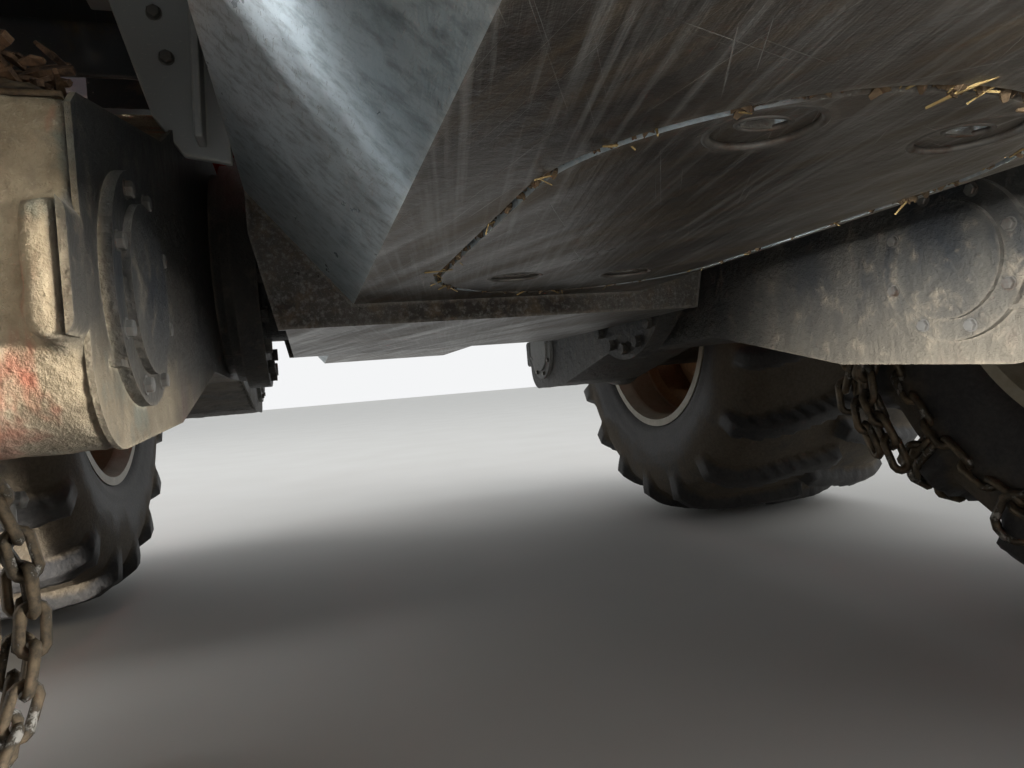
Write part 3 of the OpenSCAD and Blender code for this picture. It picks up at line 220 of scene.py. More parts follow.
def muddy_casting(name):
    """Sand-cast iron: dried tan clay on the left box's ends, and dark oily iron with a film of clay elsewhere; the
    right box's ends are kept dark as painted shade, and the undersides as painted shade and wet clay.
    """
    material, shader, put, place = start(name)
    crust = put("TexNoise", {"Vector": place, "Scale": 6.0, "Detail": 5.0, "Roughness": 0.65})
    # Splashes run down: 60 mm wide and 200 mm tall
    run = put("Mapping", {"Vector": place, "Location": (5, 2, 9), "Scale": (1, 1, 0.35)})
    patch = put("TexNoise", {"Vector": run, "Scale": 6.5, "Detail": 5.0, "Roughness": 0.7})
    grain = put("TexNoise", {"Vector": place, "Scale": 190.0, "Detail": 5.0, "Roughness": 0.7})
    lumps = put("TexNoise", {"Vector": place, "Scale": 34.0, "Detail": 5.0, "Roughness": 0.6})
    tan = put("MapRange", {"Value": crust, "From Min": 0.38, "From Max": 0.6})
    clay = put("Mix", {0: tan, 6: "#8b7a60", 7: "#c4b394"}, **BLEND)
    # Over the tan come grey where it is thin, brown between the lumps, old red and green paint, and pale grains
    for value, low, high, least, most, tone, ends in (
            (patch, 0.48, 0.38, 0.0, 0.6, "#57534a", EASED), (lumps, 0.35, 0.6, 0.45, 0.0, "#5f4f38", {}),
            (patch, 0.525, 0.60, 0.0, 0.7, "#a9503a", EASED), (crust, 0.45, 0.37, 0.0, 0.65, "#737b70", EASED),
            (grain, 0.6, 0.75, 0.0, 0.6, "#cbbb9d", {})):
        share = put("MapRange", {"Value": value, "From Min": low, "From Max": high, "To Min": least, "To Max": most},
                    **ends)
        clay = put("Mix", {0: share, 6: clay, 7: tone}, **BLEND)
    # Iron without the crust: near black, with clay rubbed into its grain and dust settled on top
    across, height = (put("SeparateXYZ", {0: place}, out=axis) for axis in "XZ")
    inward, facing = (put("SeparateXYZ", {0: put("TexCoord", out="Normal")}, out=axis) for axis in "XZ")
    iron = put("Mix", {0: put("MapRange", {"Value": patch, "From Min": 0.42, "From Max": 0.68}),
                       6: "#1d1f21", 7: "#3a3833"}, **BLEND)
    for value, low, high, most, tone, ends in ((lumps, 0.55, 0.75, 0.5, "#6a6153", {}),
                                               (facing, 0.2, 0.85, 0.75, "#827f78", EASED)):
        share = put("MapRange", {"Value": value, "From Min": low, "From Max": high, "To Max": most}, **ends)
        iron = put("Mix", {0: share, 6: iron, 7: tone}, **BLEND)
    # The crust begins 440 mm out from the middle. It is thin on the right side, as painted shade, and on all that faces
    # down, as painted shade and wet clay
    ragged = put("Math", {0: across, 1: put("Math", {0: patch, 1: 0.03}, operation="MULTIPLY")}, operation="SUBTRACT")
    left = put("MapRange", {"Value": ragged, "From Min": 0.418, "From Max": 0.438}, **EASED)
    # Painted shade: the right box's ends get little pale crust and show dark iron
    right = put("MapRange", {"Value": across, "From Min": -0.43, "From Max": -0.5, "To Max": 0.35}, **EASED)
    # Painted shade and wet clay: what faces down keeps little pale crust
    under = put("MapRange", {"Value": facing, "From Min": -0.35, "From Max": -0.9, "To Min": 1.0, "To Max": 0.3},
                **EASED)
    # Walls that face the middle of the machine are oily above their lower edge
    inward = put("MapRange", {"Value": inward, "From Min": -0.25, "From Max": -0.85, "To Max": 0.9}, **EASED)
    uneven = put("Math", {0: height, 1: put("Math", {0: patch, 1: 0.12}, operation="MULTIPLY")}, operation="ADD")
    oily = put("MapRange", {"Value": uneven, "From Min": 0.56, "From Max": 0.62}, **EASED)
    dry = put("Math", {0: 1.0, 1: put("Math", {0: inward, 1: oily}, operation="MULTIPLY")}, operation="SUBTRACT")
    # The crust share carries the painted shade on the right side and underneath
    crust_with_painted_shade = put("Math", {0: left, 1: right}, operation="MAXIMUM")
    for share in (under, dry):
        crust_with_painted_shade = put("Math", {0: crust_with_painted_shade, 1: share}, operation="MULTIPLY")
    skin = put("Mix", {0: crust_with_painted_shade, 6: iron, 7: clay}, **BLEND)
    # The round covers of the foremost hubs are of bare grey plate
    centre = put("CombineXYZ", {"X": across, "Y": COVER_YS[0], "Z": COVER_Z})
    cover = put("VectorMath", {0: place, 1: centre}, out="Value", operation="DISTANCE")
    cover = put("Math", {0: cover, 1: COVER_R}, operation="LESS_THAN")
    proud = put("Math", {0: put("Math", {0: across}, operation="ABSOLUTE"), 1: 0.4408}, operation="LESS_THAN")
    cover = put("Math", {0: cover, 1: proud}, operation="MULTIPLY")
    # Below 600 mm the colour goes darker towards the bottom, and corners are rubbed
    darker_towards_bottom = put("MapRange", {"Value": height, "From Min": 0.60, "From Max": 0.44, "To Max": 0.75})
    rubbed = put("Math", {0: worn_edge(put, grain, 0.006), 1: 0.45}, operation="MULTIPLY")
    for share, tone in ((cover, put("Mix", {0: patch, 6: "#77797a", 7: "#aeada6"}, **BLEND)), (darker_towards_bottom, "#3f3a31"),
                        (rubbed, put("Mix", {0: left, 6: "#665e51", 7: "#b9ad94"}, **BLEND))):
        skin = put("Mix", {0: share, 6: skin, 7: tone}, **BLEND)
    relief = put("Math", {0: grain, 1: put("Math", {0: lumps, 1: 3.0}, operation="MULTIPLY")}, operation="ADD")
    rough = put("MapRange", {"Value": crust_with_painted_shade, "To Min": 0.5, "To Max": 0.88})
    return finish(material, shader, skin, rough, relief, 0.003)


def enamel(name, paint, faded, worn, dust=0.4, mud=0.6, rough=0.32, mud_top=1.5):
    """Sprayed machine enamel: fades in clouds, chips to primer, gathers dust on top and clay splashes from below."""
    material, shader, put, place = start(name)
    cloud = put("TexNoise", {"Vector": place, "Scale": 1.9, "Detail": 4.0, "Roughness": 0.6})
    fleck = put("TexNoise", {"Vector": place, "Scale": 46.0, "Detail": 4.0, "Roughness": 0.65})
    coat = put("Mix", {0: put("MapRange", {"Value": cloud, "From Min": 0.35, "From Max": 0.68}), 6: paint, 7: faded},
               **BLEND)
    # Chips 5 to 15 mm wide, thick in some places and missing in others
    chips = put("TexVoronoi", {"Vector": place, "Scale": 38.0, "Randomness": 1.0}, distance="EUCLIDEAN")
    zone = put("MapRange", {"Value": cloud, "From Min": 0.58, "From Max": 0.74, "To Max": 0.26})
    chip = put("Math", {0: chips, 1: zone}, operation="LESS_THAN")
    chip = put("Math", {0: chip, 1: worn_edge(put, fleck)}, operation="MAXIMUM")
    scratches = [put("Math", {0: drawn_lines(put, place, turn, seed, 0.7, 0.75), 1: 0.4}, operation="MULTIPLY")
                 for turn, seed in ((0.2, 1.0), (1.3, 4.0))]
    for share in [chip] + scratches:
        coat = put("Mix", {0: share, 6: coat, 7: worn}, **BLEND)
    upward = put("SeparateXYZ", {0: put("NewGeometry", out="Normal")}, out="Z")
    settled = put("MapRange", {"Value": upward, "From Min": 0.3, "From Max": 1.0, "To Max": dust})
    settled = put("Math", {0: settled, 1: put("MapRange", {"Value": fleck, "From Min": 0.3, "From Max": 0.65})},
                  operation="MULTIPLY")
    coat = put("Mix", {0: settled, 6: coat, 7: "#94866f"}, **BLEND)
    low = put("MapRange", {"Value": put("SeparateXYZ", {0: place}, out="Z"), "From Min": mud_top, "From Max": 0.45,
                           "To Max": mud})
    splash = put("TexNoise", {"Vector": place, "Scale": 9.0, "Detail": 5.0, "Roughness": 0.68})
    splash = put("Math", {0: splash, 1: low}, operation="ADD")
    splash = put("MapRange", {"Value": splash, "From Min": 0.76, "From Max": 1.02, "To Max": 0.9}, **EASED)
    coat = put("Mix", {0: splash, 6: coat, 7: put("Mix", {0: fleck, 6: "#5b4a37", 7: "#97825f"}, **BLEND)}, **BLEND)
    dull = put("Math", {0: splash, 1: settled}, operation="MAXIMUM")
    gloss = put("MapRange", {"Value": dull, "To Min": rough, "To Max": 0.85})
    relief = put("Math", {0: put("Math", {0: splash, 1: fleck}, operation="MULTIPLY"), 1: chip}, operation="SUBTRACT")
    return finish(material, shader, coat, gloss, relief, 0.0008)


def tyre_rubber(name):
    """Carbon-black rubber: polished on the lug tips, grey with dust on the flanks, clay dried in the grooves."""
    material, shader, put, place = start(name)
    lug = put("Attribute", out="Fac", attribute_name="lug")
    smudge = put("TexNoise", {"Vector": place, "Scale": 5.0, "Detail": 5.0, "Roughness": 0.65})
    grit = put("TexNoise", {"Vector": place, "Scale": 120.0, "Detail": 5.0, "Roughness": 0.7})
    rubber = put("Mix", {0: put("MapRange", {"Value": smudge, "From Min": 0.35, "From Max": 0.65}),
                         6: "#1f1f20", 7: "#3b3936"}, **BLEND)
    packed = put("MapRange", {"Value": lug, "From Min": 0.7, "From Max": 0.0, "To Max": 0.42})
    packed = put("Math", {0: packed, 1: smudge}, operation="ADD")
    packed = put("MapRange", {"Value": packed, "From Min": 0.62, "From Max": 0.95, "To Max": 0.9}, **EASED)
    clay = put("Mix", {0: grit, 6: "#3f372e", 7: "#6c604d"}, **BLEND)
    colour = put("Mix", {0: packed, 6: rubber, 7: clay}, **BLEND)
    film = put("MapRange", {"Value": grit, "From Min": 0.4, "From Max": 0.8, "To Max": 0.25})
    colour = put("Mix", {0: film, 6: colour, 7: "#66605a"}, **BLEND)
    gloss = put("MapRange", {"Value": packed, "To Min": 0.62, "To Max": 0.93})
    height = put("Math", {0: grit, 1: packed}, operation="MULTIPLY")
    return finish(material, shader, colour, gloss, put("Math", {0: height, 1: grit}, operation="ADD"), 0.0012)


def rim_enamel(name):
    """Pale wheel enamel, which the tyre rubs clean, and rust and clay in the dish, thickest on the inner side."""
    material, shader, put, place = start(name)
    patch = put("TexNoise", {"Vector": place, "Scale": 7.0, "Detail": 5.0, "Roughness": 0.7})
    grain = put("TexNoise", {"Vector": place, "Scale": 90.0, "Detail": 5.0, "Roughness": 0.7})
    # Distance from the nearest axle: the two wheels of a bogie mirror each other about its middle
    across, along, up = (put("SeparateXYZ", {0: place}, out=axis) for axis in "XYZ")
    rear = put("Math", {0: along, 1: -0.5}, operation="GREATER_THAN")
    middle = put("Math", {0: rear, 1: REAR_BOGIE_Y - FRONT_BOGIE_Y, 2: FRONT_BOGIE_Y}, operation="MULTIPLY_ADD")
    along = put("Math", {0: put("Math", {0: along, 1: middle}, operation="SUBTRACT")}, operation="ABSOLUTE")
    along = put("Math", {0: along, 1: WHEEL_STEP}, operation="SUBTRACT")
    up = put("Math", {0: up, 1: WHEEL_R}, operation="SUBTRACT")
    reach = put("VectorMath", {0: put("CombineXYZ", {"X": along, "Y": up})}, out="Value", operation="LENGTH")
    dish = put("MapRange", {"Value": reach, "From Min": 0.322, "From Max": 0.312})
    outer = put("MapRange", {"Value": put("Math", {0: across}, operation="ABSOLUTE"), "From Min": TYRE_MID + 0.02,
                             "From Max": TYRE_MID + 0.1, "To Min": 0.58, "To Max": 0.0})
    rust = put("Math", {0: outer, 1: patch}, operation="ADD")
    rust = put("MapRange", {"Value": rust, "From Min": 0.68, "From Max": 0.95}, **EASED)
    rust = put("Math", {0: rust, 1: dish}, operation="MULTIPLY")
    coat = put("Mix", {0: put("MapRange", {"Value": patch, "From Min": 0.4, "From Max": 0.7}),
                       6: "#b5ad9a", 7: "#91886f"}, **BLEND)
    browns = put("Mix", {0: grain, 6: "#5f4029", 7: "#9c7147"}, **BLEND)
    coat = put("Mix", {0: rust, 6: coat, 7: browns}, **BLEND)
    gloss = put("MapRange", {"Value": rust, "To Min": 0.42, "To Max": 0.88})
    return finish(material, shader, coat, gloss, grain, 0.0015)


def chain_steel(name):
    """Hardened chain: dark scale with brown rust, rubbed bright where the links pull on each other."""
    material, shader, put, place = start(name)
    patch = put("TexNoise", {"Vector": place, "Scale": 28.0, "Detail": 4.0, "Roughness": 0.7})
    colour = put("Mix", {0: put("MapRange", {"Value": patch, "From Min": 0.4, "From Max": 0.62}),
                         6: "#45413a", 7: "#80705a"}, **BLEND)
    bright = put("MapRange", {"Value": patch, "From Min": 0.42, "From Max": 0.36})
    colour = put("Mix", {0: bright, 6: colour, 7: "#a29e95"}, **BLEND)
    gloss = put("MapRange", {"Value": patch, "To Min": 0.35, "To Max": 0.7})
    return finish(material, shader, colour, gloss, patch, 0.001, 0.7)


def bare_steel(name, tone="#7f7d78", rough=0.4):
    """Machined or drawn steel with a brown bloom."""
    material, shader, put, place = start(name)
    bloom = put("TexNoise", {"Vector": place, "Scale": 24.0, "Detail": 5.0, "Roughness": 0.7})
    share = put("MapRange", {"Value": bloom, "From Min": 0.5, "From Max": 0.72})
    colour = put("Mix", {0: share, 6: tone, 7: "#5b4838"}, **BLEND)
    gloss = put("MapRange", {"Value": bloom, "To Min": rough - 0.15, "To Max": rough + 0.3})
    return finish(material, shader, colour, gloss, bloom, 0.0006, 0.85)


def chrome(name):
    """Hard chrome on a ground rod, with a film of oil."""
    material, shader, put, place = start(name)
    film = put("TexNoise", {"Vector": place, "Scale": 30.0, "Detail": 4.0})
    gloss = put("MapRange", {"Value": film, "To Min": 0.06, "To Max": 0.22})
    return finish(material, shader, put("Mix", {0: film, 6: "#d8d8dc", 7: "#b9b6ae"}, **BLEND), gloss, None, 0.0, 1.0)


def clear_panel(name, tint):
    """Toughened glass or polycarbonate, clear through, with a dusty film."""
    material, shader, put, place = start(name)
    film = put("TexNoise", {"Vector": place, "Scale": 5.0, "Detail": 5.0, "Roughness": 0.7})
    shader.inputs["Transmission Weight"].default_value = 0.92
    shader.inputs["IOR"].default_value = 1.5
    gloss = put("MapRange", {"Value": film, "From Min": 0.45, "From Max": 0.8, "To Min": 0.0, "To Max": 0.1})
    return finish(material, shader, tint, gloss)


def moulded_plastic(name, tone, dusty="#7d715f"):
    """Rotation-moulded polyethylene: a fine grain, chalky on top, clay dried near the ground."""
    material, shader, put, place = start(name)
    grain = put("TexNoise", {"Vector": place, "Scale": 260.0, "Detail": 3.0})
    cloud = put("TexNoise", {"Vector": place, "Scale": 4.0, "Detail": 5.0, "Roughness": 0.65})
    share = put("MapRange", {"Value": cloud, "From Min": 0.45, "From Max": 0.75, "To Max": 0.7})
    gloss = put("MapRange", {"Value": cloud, "To Min": 0.45, "To Max": 0.8})
    return finish(material, shader, put("Mix", {0: share, 6: tone, 7: dusty}, **BLEND), gloss, grain, 0.0006)


def seat_cloth(name):
    """Woven seat cloth: warp and weft of 3 mm crossing, charcoal with a worn sheen."""
    material, shader, put, place = start(name)
    warp, weft = (put("TexWave", {"Vector": place, "Scale": 52.0, "Distortion": 1.0}, bands_direction=way)
                  for way in "XZ")
    weave = put("Math", {0: warp, 1: weft}, operation="MULTIPLY")
    shader.inputs["Sheen Weight"].default_value = 0.4
    return finish(material, shader, put("Mix", {0: weave, 6: "#1e1f22", 7: "#4a4b4f"}, **BLEND), 0.9, weave, 0.0015)


def heat_stained(name):
    """Stainless pipe blued and browned by exhaust heat."""
    material, shader, put, place = start(name)
    along = put("Mapping", {"Vector": place, "Scale": (2, 2, 7)})
    bands = put("TexNoise", {"Vector": along, "Scale": 1.0, "Detail": 5.0})
    colour = put("ValToRGB", {0: bands})
    ramp = colour.node.color_ramp
    ramp.elements[0].position, ramp.elements[0].color = 0.3, linear("#5e4a3a")
    ramp.elements[1].position, ramp.elements[1].color = 0.7, linear("#8c7f78")
    ramp.elements.new(0.5).color = linear("#6a6574")
    gloss = put("MapRange", {"Value": bands, "To Min": 0.3, "To Max": 0.6})
    return finish(material, shader, colour, gloss, bands, 0.0006, 0.8)


def dry_litter(name, pale, dark):
    """Bark, straw and crumbled clay: each chip has its own tone from where it lies."""
    material, shader, put, place = start(name)
    tone = put("TexNoise", {"Vector": place, "Scale": 60.0, "Detail": 4.0, "Roughness": 0.7})
    share = put("MapRange", {"Value": tone, "From Min": 0.35, "From Max": 0.65})
    return finish(material, shader, put("Mix", {0: share, 6: dark, 7: pale}, **BLEND), 0.92, tone, 0.002)


FINISH = {
    "frame_paint": enamel("chassis_enamel", "#2a2d2f", "#3b3e40", "#77736b", 0.5, 0.5, 0.4, 1.6),
    "belly_steel": scuffed_plate("guard_plate_steel", "#5e5b56", "#2d2823", "#6b5c46", 0.6),
    "hatch_steel": scuffed_plate("hatch_plate_steel", "#5a5651", "#2a2520", "#64563f", 0.55),
    "cast_mud": muddy_casting("cast_iron_under_clay"),
    "body_red": enamel("body_enamel_red", "#85190f", "#973324", "#c9c4b8", 0.3, 0.4, 0.26, 1.3),
    "cab_white": enamel("cab_enamel_grey", "#979995", "#a9aaa5", "#6d6a62", 0.3, 0.3, 0.26, 1.9),
    "crane_paint": enamel("crane_enamel", "#26292c", "#373b3f", "#8b8a86", 0.3, 0.0, 0.34, 1.0),
    "glass": clear_panel("toughened_glass", "#cfd9d6"),
    "seat_cloth": seat_cloth("woven_seat_cloth"),
    "dark_plastic": moulded_plastic("moulded_polyethylene", "#25272a"),
    "lamp_lens": clear_panel("lamp_polycarbonate", "#f2f2ee"),
    "exhaust_steel": heat_stained("heat_stained_steel"),
    "engine_iron": enamel("engine_enamel", "#4a4d50", "#5b5d5c", "#7b6b57", 0.4, 0.2, 0.5),
    "cylinder_black": enamel("cylinder_enamel", "#17181a", "#26272a", "#6b6b69", 0.25, 0.0, 0.28, 1.0),
    "rod_chrome": chrome("hard_chrome"),
    "tyre_rubber": tyre_rubber("carbon_black_rubber"),
    "rim_paint": rim_enamel("wheel_enamel_pale"),
}
# Finish and slot of the new pieces
CHAIN = (chain_steel("hardened_chain_steel"), "frame_paint")
STEEL = (bare_steel("machined_steel"), "frame_paint")
PLASTIC = (FINISH["dark_plastic"], "dark_plastic")
PIPE = (FINISH["cylinder_black"], "cylinder_black")
TAIL_LENS = (clear_panel("tail_lamp_polycarbonate", "#b3261c"), "lamp_lens")
BEACON = (clear_panel("beacon_polycarbonate", "#e28a1e"), "lamp_lens")
GUARD = (enamel("guard_enamel", "#4a4e51", "#5c6062", "#8b877d", 0.5, 0.5, 0.42, 1.5), "frame_paint")
POST = (enamel("bracket_primer", "#8a8d8c", "#9da09d", "#b6b3a8", 0.45, 0.3, 0.4, 1.2), "frame_paint")


# Floor and light

def takes_no_gap_light(name):
    """True for the cab, the rims, and the wheels and casting at the front right, which stay in shade."""
    return (name[-3:] in ("fr1", "fr2") or name.startswith(("cab_", "rim_"))
            or name in ("cast_box_right", "loose_chain_right"))


def light_stage():
    """A pale floor and an even sky, two broad lamps from above, and three weaker ones for the light below the belly."""
    world = bpy.data.worlds.new("pale_sky")
    world.use_nodes = True
    tree = world.node_tree
    sky = tree.nodes["Background"]
    fill(tree, sky, {"Color": "#e8ecf0", "Strength": 0.85})
    seen = add(tree, "Background", {"Color": "#f4f5f6", "Strength": 1.0})
    path = tree.nodes.new("ShaderNodeLightPath")
    direct = path.outputs["Is Camera Ray"]
    for ray in ("Is Glossy Ray", "Is Transmission Ray"):
        direct = add(tree, "Math", {0: direct, 1: path.outputs[ray]}, operation="MAXIMUM")
    mixed = add(tree, "MixShader", {0: direct, 1: sky.outputs[0], 2: seen})
    tree.links.new(mixed, tree.nodes["World Output"].inputs["Surface"])
    scene.world = world
    ground = bpy.data.meshes.new("floor")
    half = 60
    ground.from_pydata([(-half, -half, 0), (half, -half, 0), (half, half, 0), (-half, half, 0)], [], [(0, 1, 2, 3)])
    material, shader, put, place = start("pale_floor")
    mottle = put("TexNoise", {"Vector": place, "Scale": 2.0, "Detail": 5.0})
    finish(material, shader, put("Mix", {0: mottle, 6: "#d6d3cd", 7: "#e2e0db"}, **BLEND), 0.9)
    ground.materials.append(material)
    unlit = bpy.data.collections.new("unlit_by_gap_lamps")
    for obj in [obj for obj in scene.objects if takes_no_gap_light(obj.name)]:
        unlit.objects.link(obj)
    floor = shown("floor", ground)
    unlit.objects.link(floor)
    for entry in unlit.collection_objects:
        entry.light_linking.link_state = "EXCLUDE"
    # Name, place, what it faces, size in metres, watts, and the spread in degrees of lamps that stand for a gap
    for name, place, aim, size, power, spread_of in (
            ("key_lamp", (9.0, -4.0, 9.0), (0, 0, 1.0), 7.0, 540.0, None),
            ("fill_lamp", (-8.0, 6.0, 7.0), (0, 0, 1.5), 8.0, 420.0, None),
            ("gap_lamp_left", (5.4, 0.9, 0.75), (0.4, -2.3, 1.05), 1.5, 680.0, 45),
            ("gap_lamp_right", (-5.4, 0.8, 0.75), (-0.2, -2.3, 0.95), 1.5, 240.0, 45),
            ("gap_lamp_ground", (0.75, -1.0, 0.04), (0.25, -2.3, 1.0), 1.3, 10.0, 130)):
        lamp = bpy.data.lights.new(name, "AREA")
        lamp.size, lamp.energy = size, power
        obj = shown(name, lamp)
        if spread_of:
            lamp.spread = math.radians(spread_of)
            obj.visible_glossy = obj.visible_camera = obj.visible_transmission = False
            obj.light_linking.receiver_collection = unlit
        toward = unit(np.array(aim, float) - np.array(place, float))
        side = unit(np.cross(toward, (0, 0, 1)))
        aimed(obj, side, np.cross(side, toward), -toward, place)


# Shapes worked out on grids

def unit(v):
    """Vectors of length 1."""
    return v / np.linalg.norm(v, axis=-1, keepdims=True)


def cells(nu, nv, round_u=False, round_v=False):
    """The four corners of each cell in a grid of nu by nv points; a round direction closes on itself."""
    a, b = np.meshgrid(np.arange(nu if round_u else nu - 1), np.arange(nv if round_v else nv - 1), indexing="ij")
    c, d = (a + 1) % nu, (b + 1) % nv
    return np.stack([a * nv + b, c * nv + b, c * nv + d, a * nv + d], -1).reshape(-1, 4)


def turns(count):
    """Angles of a full turn in even steps."""
    return np.linspace(0, 2 * math.pi, count, endpoint=False)


def outward(points, faces):
    """A closed shell has a positive volume when its faces point outwards; one that hasn't is turned round."""
    corner = points[faces[:, :3]]
    volume = np.einsum("ij,ij->i", corner[:, 0], np.cross(corner[:, 1], corner[:, 2])).sum()
    volume += np.einsum("ij,ij->i", points[faces[:, 0]], np.cross(points[faces[:, 2]], points[faces[:, 3]])).sum()
    return faces if volume > 0 else faces[:, ::-1]


def closed_shell(points, faces):
    """Points and faces of a shell whose faces all point outwards."""
    points = points.reshape(-1, 3)
    return points, outward(points, faces)


def together(shells):
    """Joins shells, each a pair of points and faces, into one pair."""
    starts = np.cumsum([0] + [len(points) for points, faces in shells[:-1]])
    return (np.concatenate([points for points, faces in shells]),
            np.concatenate([faces + start for (points, faces), start in zip(shells, starts)]))


def repeated(one, count, size):
    """The faces of one shell of so many points, once for each of count copies."""
    return (one[None] + (np.arange(count) * size)[:, None, None]).reshape(-1, 4)


def dressed(obj, body, finish, slot, stands_for=()):
    """Lets a new piece ride on a body, gives it its finish, and lets it stand for a solid; slot is not used."""
    obj.data.materials.append(finish)
    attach(obj, body)
    if stands_for:
        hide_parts(*stands_for)
    return obj


def piece(name, shell, body, finish, slot, stands_for=(), smooth=True, **fields):
    """Makes a mesh of a shell, or of several, and dresses it; fields are values kept at each point."""
    points, faces = together(shell) if isinstance(shell, list) else shell
    mesh = bpy.data.meshes.new(name)
    mesh.from_pydata(points.tolist(), [], faces.tolist())
    mesh.polygons.foreach_set("use_smooth", np.full(len(mesh.polygons), smooth))
    for field, values in fields.items():
        mesh.attributes.new(field, "FLOAT", "POINT").data.foreach_set("value", np.asarray(values, np.float32).ravel())
    return dressed(shown(name, mesh), body, finish, slot, stands_for)


def step(value, low, high):
    """0 below low, 1 above high, and a smooth S between them; it falls where low is the larger."""
    t = np.clip((value - low) / (high - low), 0, 1)
    return t * t * (3 - 2 * t)


def spread(points, count):
    """Points spaced evenly along a line of given corners."""
    points = np.asarray(points, float)
    run = np.concatenate([[0], np.cumsum(np.linalg.norm(np.diff(points, axis=0), axis=1))])
    at = np.linspace(0, run[-1], count)
    return np.stack([np.interp(at, run, points[:, k]) for k in range(points.shape[1])], -1)


def through(points, count):
    """Points along a polynomial that passes through the given ones, as smooth as there are points."""
    points = np.asarray(points, float)
    t, fine = np.linspace(0, 1, len(points)), np.linspace(0, 1, count)
    return np.stack([np.polyval(np.polyfit(t, points[:, k], len(points) - 1), fine) for k in range(3)], -1)


# Tyres

# Height of a tread bar, bars round the tyre, half the tread's width, and how far a chained tyre is drawn in
LUG_H, LUG_N, TREAD_W, CHAIN_DROP = 0.042, 18, 0.355, 0.024
CHAINED = ("fl2", "fr2")


def tyre_section(r):
    """Half a tyre's section, as distance along the axle and radius: from the bead round the flank to the tread."""
    half = TREAD_W
    return spread([(half - 0.052, RIM_R + 0.004), (half - 0.03, RIM_R + 0.012), (half - 0.012, RIM_R + 0.05),
                   (half - 0.016, RIM_R + 0.062), (half - 0.004, RIM_R + 0.105), (half - 0.001, RIM_R + 0.15),
                   (half - 0.008, r - 0.09), (half - 0.026, r - 0.05), (half - 0.07, r - 0.02),
                   (half - 0.15, r - 0.005), (0, r)], 40)


def tyre_shell(side, y, r, steps):
    """Surface of revolution of the section, raised along its own normal by the tread bars.

    At distance x from the middle and angle t round the axle, a bar's middle line lies at t = c(x) / r, with
    c = -39 + x / 3 up to 185 mm out and 23 + 0.3 (x - 185) beyond; bars repeat every pitch, and the left ones are
    half a pitch behind the right. A bar is 64 mm wide with flanks 10 mm wide, and fades down the shoulder.
    """
    half_line = tyre_section(r - LUG_H)
    line = np.concatenate([half_line * (-1, 1), half_line[::-1][1:]])
    inner = spread([line[-1], (0.2, RIM_R + 0.001), (-0.2, RIM_R + 0.001), line[0]], 10)[1:-1]
    line = np.concatenate([line, inner])
    normal = unit(np.roll(line, -1, 0) - np.roll(line, 1, 0)) @ np.array([[0, 1], [-1, 0]])
    if normal[len(half_line)][1] < 0:
        normal = -normal
    nu = LUG_N * steps
    t, x = np.arange(nu)[:, None] * 2 * math.pi / nu, line[None, :, 0]
    pitch = 2 * math.pi / LUG_N
    lug = np.zeros((nu, len(line)))
    for s in (-1, 1):
        out = s * x
        course = np.where(out < 0.185, -0.039 + out / 3, 0.023 + 0.3 * (out - 0.185)) / r
        gap = (t - course - (0.5 * pitch if s > 0 else 0) + pitch / 2) % pitch - pitch / 2
        bar = step(np.abs(gap) * r, 0.037, 0.026) * step(out, -0.03, -0.014)
        lug = np.maximum(lug, bar)
    radius = line[None, :, 1]
    lug = lug * step(radius, r - 0.15, r - 0.085) * (radius > RIM_R + 0.1)
    # Rubber is cut and worn: bars differ by a few millimetres
    wear = 0.0025 * np.sin(7 * t) + 0.002 * np.sin(19 * t + 40 * x)
    rise = lug * (LUG_H - 0.002 + np.minimum(wear, 0))
    rings = 0.003 * np.exp(-((radius - RIM_R - 0.075) / 0.006) ** 2) * (np.abs(x) > 0.25)
    along = np.clip(x + normal[None, :, 0] * (rise + rings), -TREAD_W, TREAD_W)
    reach = np.minimum(radius + normal[None, :, 1] * (rise + rings), r - 0.0005)
    points = np.stack([side * (TYRE_MID + along), y + reach * np.sin(t), WHEEL_R + reach * np.cos(t)], -1)
    dusty = np.maximum(lug, step(radius, RIM_R + 0.2, RIM_R + 0.02) * 0.8) * np.ones((nu, 1))
    return closed_shell(points, cells(nu, len(line), True, True)), dusty


# Tyre chains

CHAIN_RING_R, CHAIN_FLANK = RIM_R + 0.15, TREAD_W - 0.0035


def link_shell(places, along, across, length, width, wire):
    """A chain link at each place: a round wire swept along a stadium, long the one way and short the other.

    The stadium's middle line is two half circles joined by straights of half length a, traced by an angle u.
    """
    rounds, sides = 12, 5
    u, v = turns(rounds) + math.pi / 12, turns(sides)
    bend, a = width / 2, (length - width) / 2
    la = (bend * np.cos(u) + a * np.sign(np.cos(u)))[:, None] + wire * np.cos(v) * np.cos(u)[:, None]
    lb = (bend * np.sin(u))[:, None] + wire * np.cos(v) * np.sin(u)[:, None]
    lc = np.broadcast_to(wire * np.sin(v), la.shape)
    ways = (along, across, np.cross(along, across))
    points = places[:, None, None, :] + sum(part[None, :, :, None] * way[:, None, None, :]
                                            for part, way in zip((la, lb, lc), ways))
    return closed_shell(points, repeated(cells(rounds, sides, True, True), len(places), rounds * sides))


def chain_on(path, outside, pitch=0.052, length=0.066, width=0.03, wire=0.0075, lean=0.75):
    """Links strung along a path at even steps; each leans from the surface the other way than the last."""
    run = np.linalg.norm(np.diff(path, axis=0), axis=1).sum()
    count = max(2, int(round(run / pitch)))
    dense = spread(np.concatenate([path, outside], 1), count + 1)
    middle = (dense[1:] + dense[:-1]) / 2
    along = unit(dense[1:, :3] - dense[:-1, :3])
    face = unit(middle[:, 3:] - (middle[:, 3:] * along).sum(1, keepdims=True) * along)
    tilt = np.where(np.arange(count) % 2, lean, lean - math.pi / 2)[:, None]
    across = np.cos(tilt) * np.cross(face, along) + np.sin(tilt) * face
    return link_shell(middle[:, :3], along, across, length, width, wire)


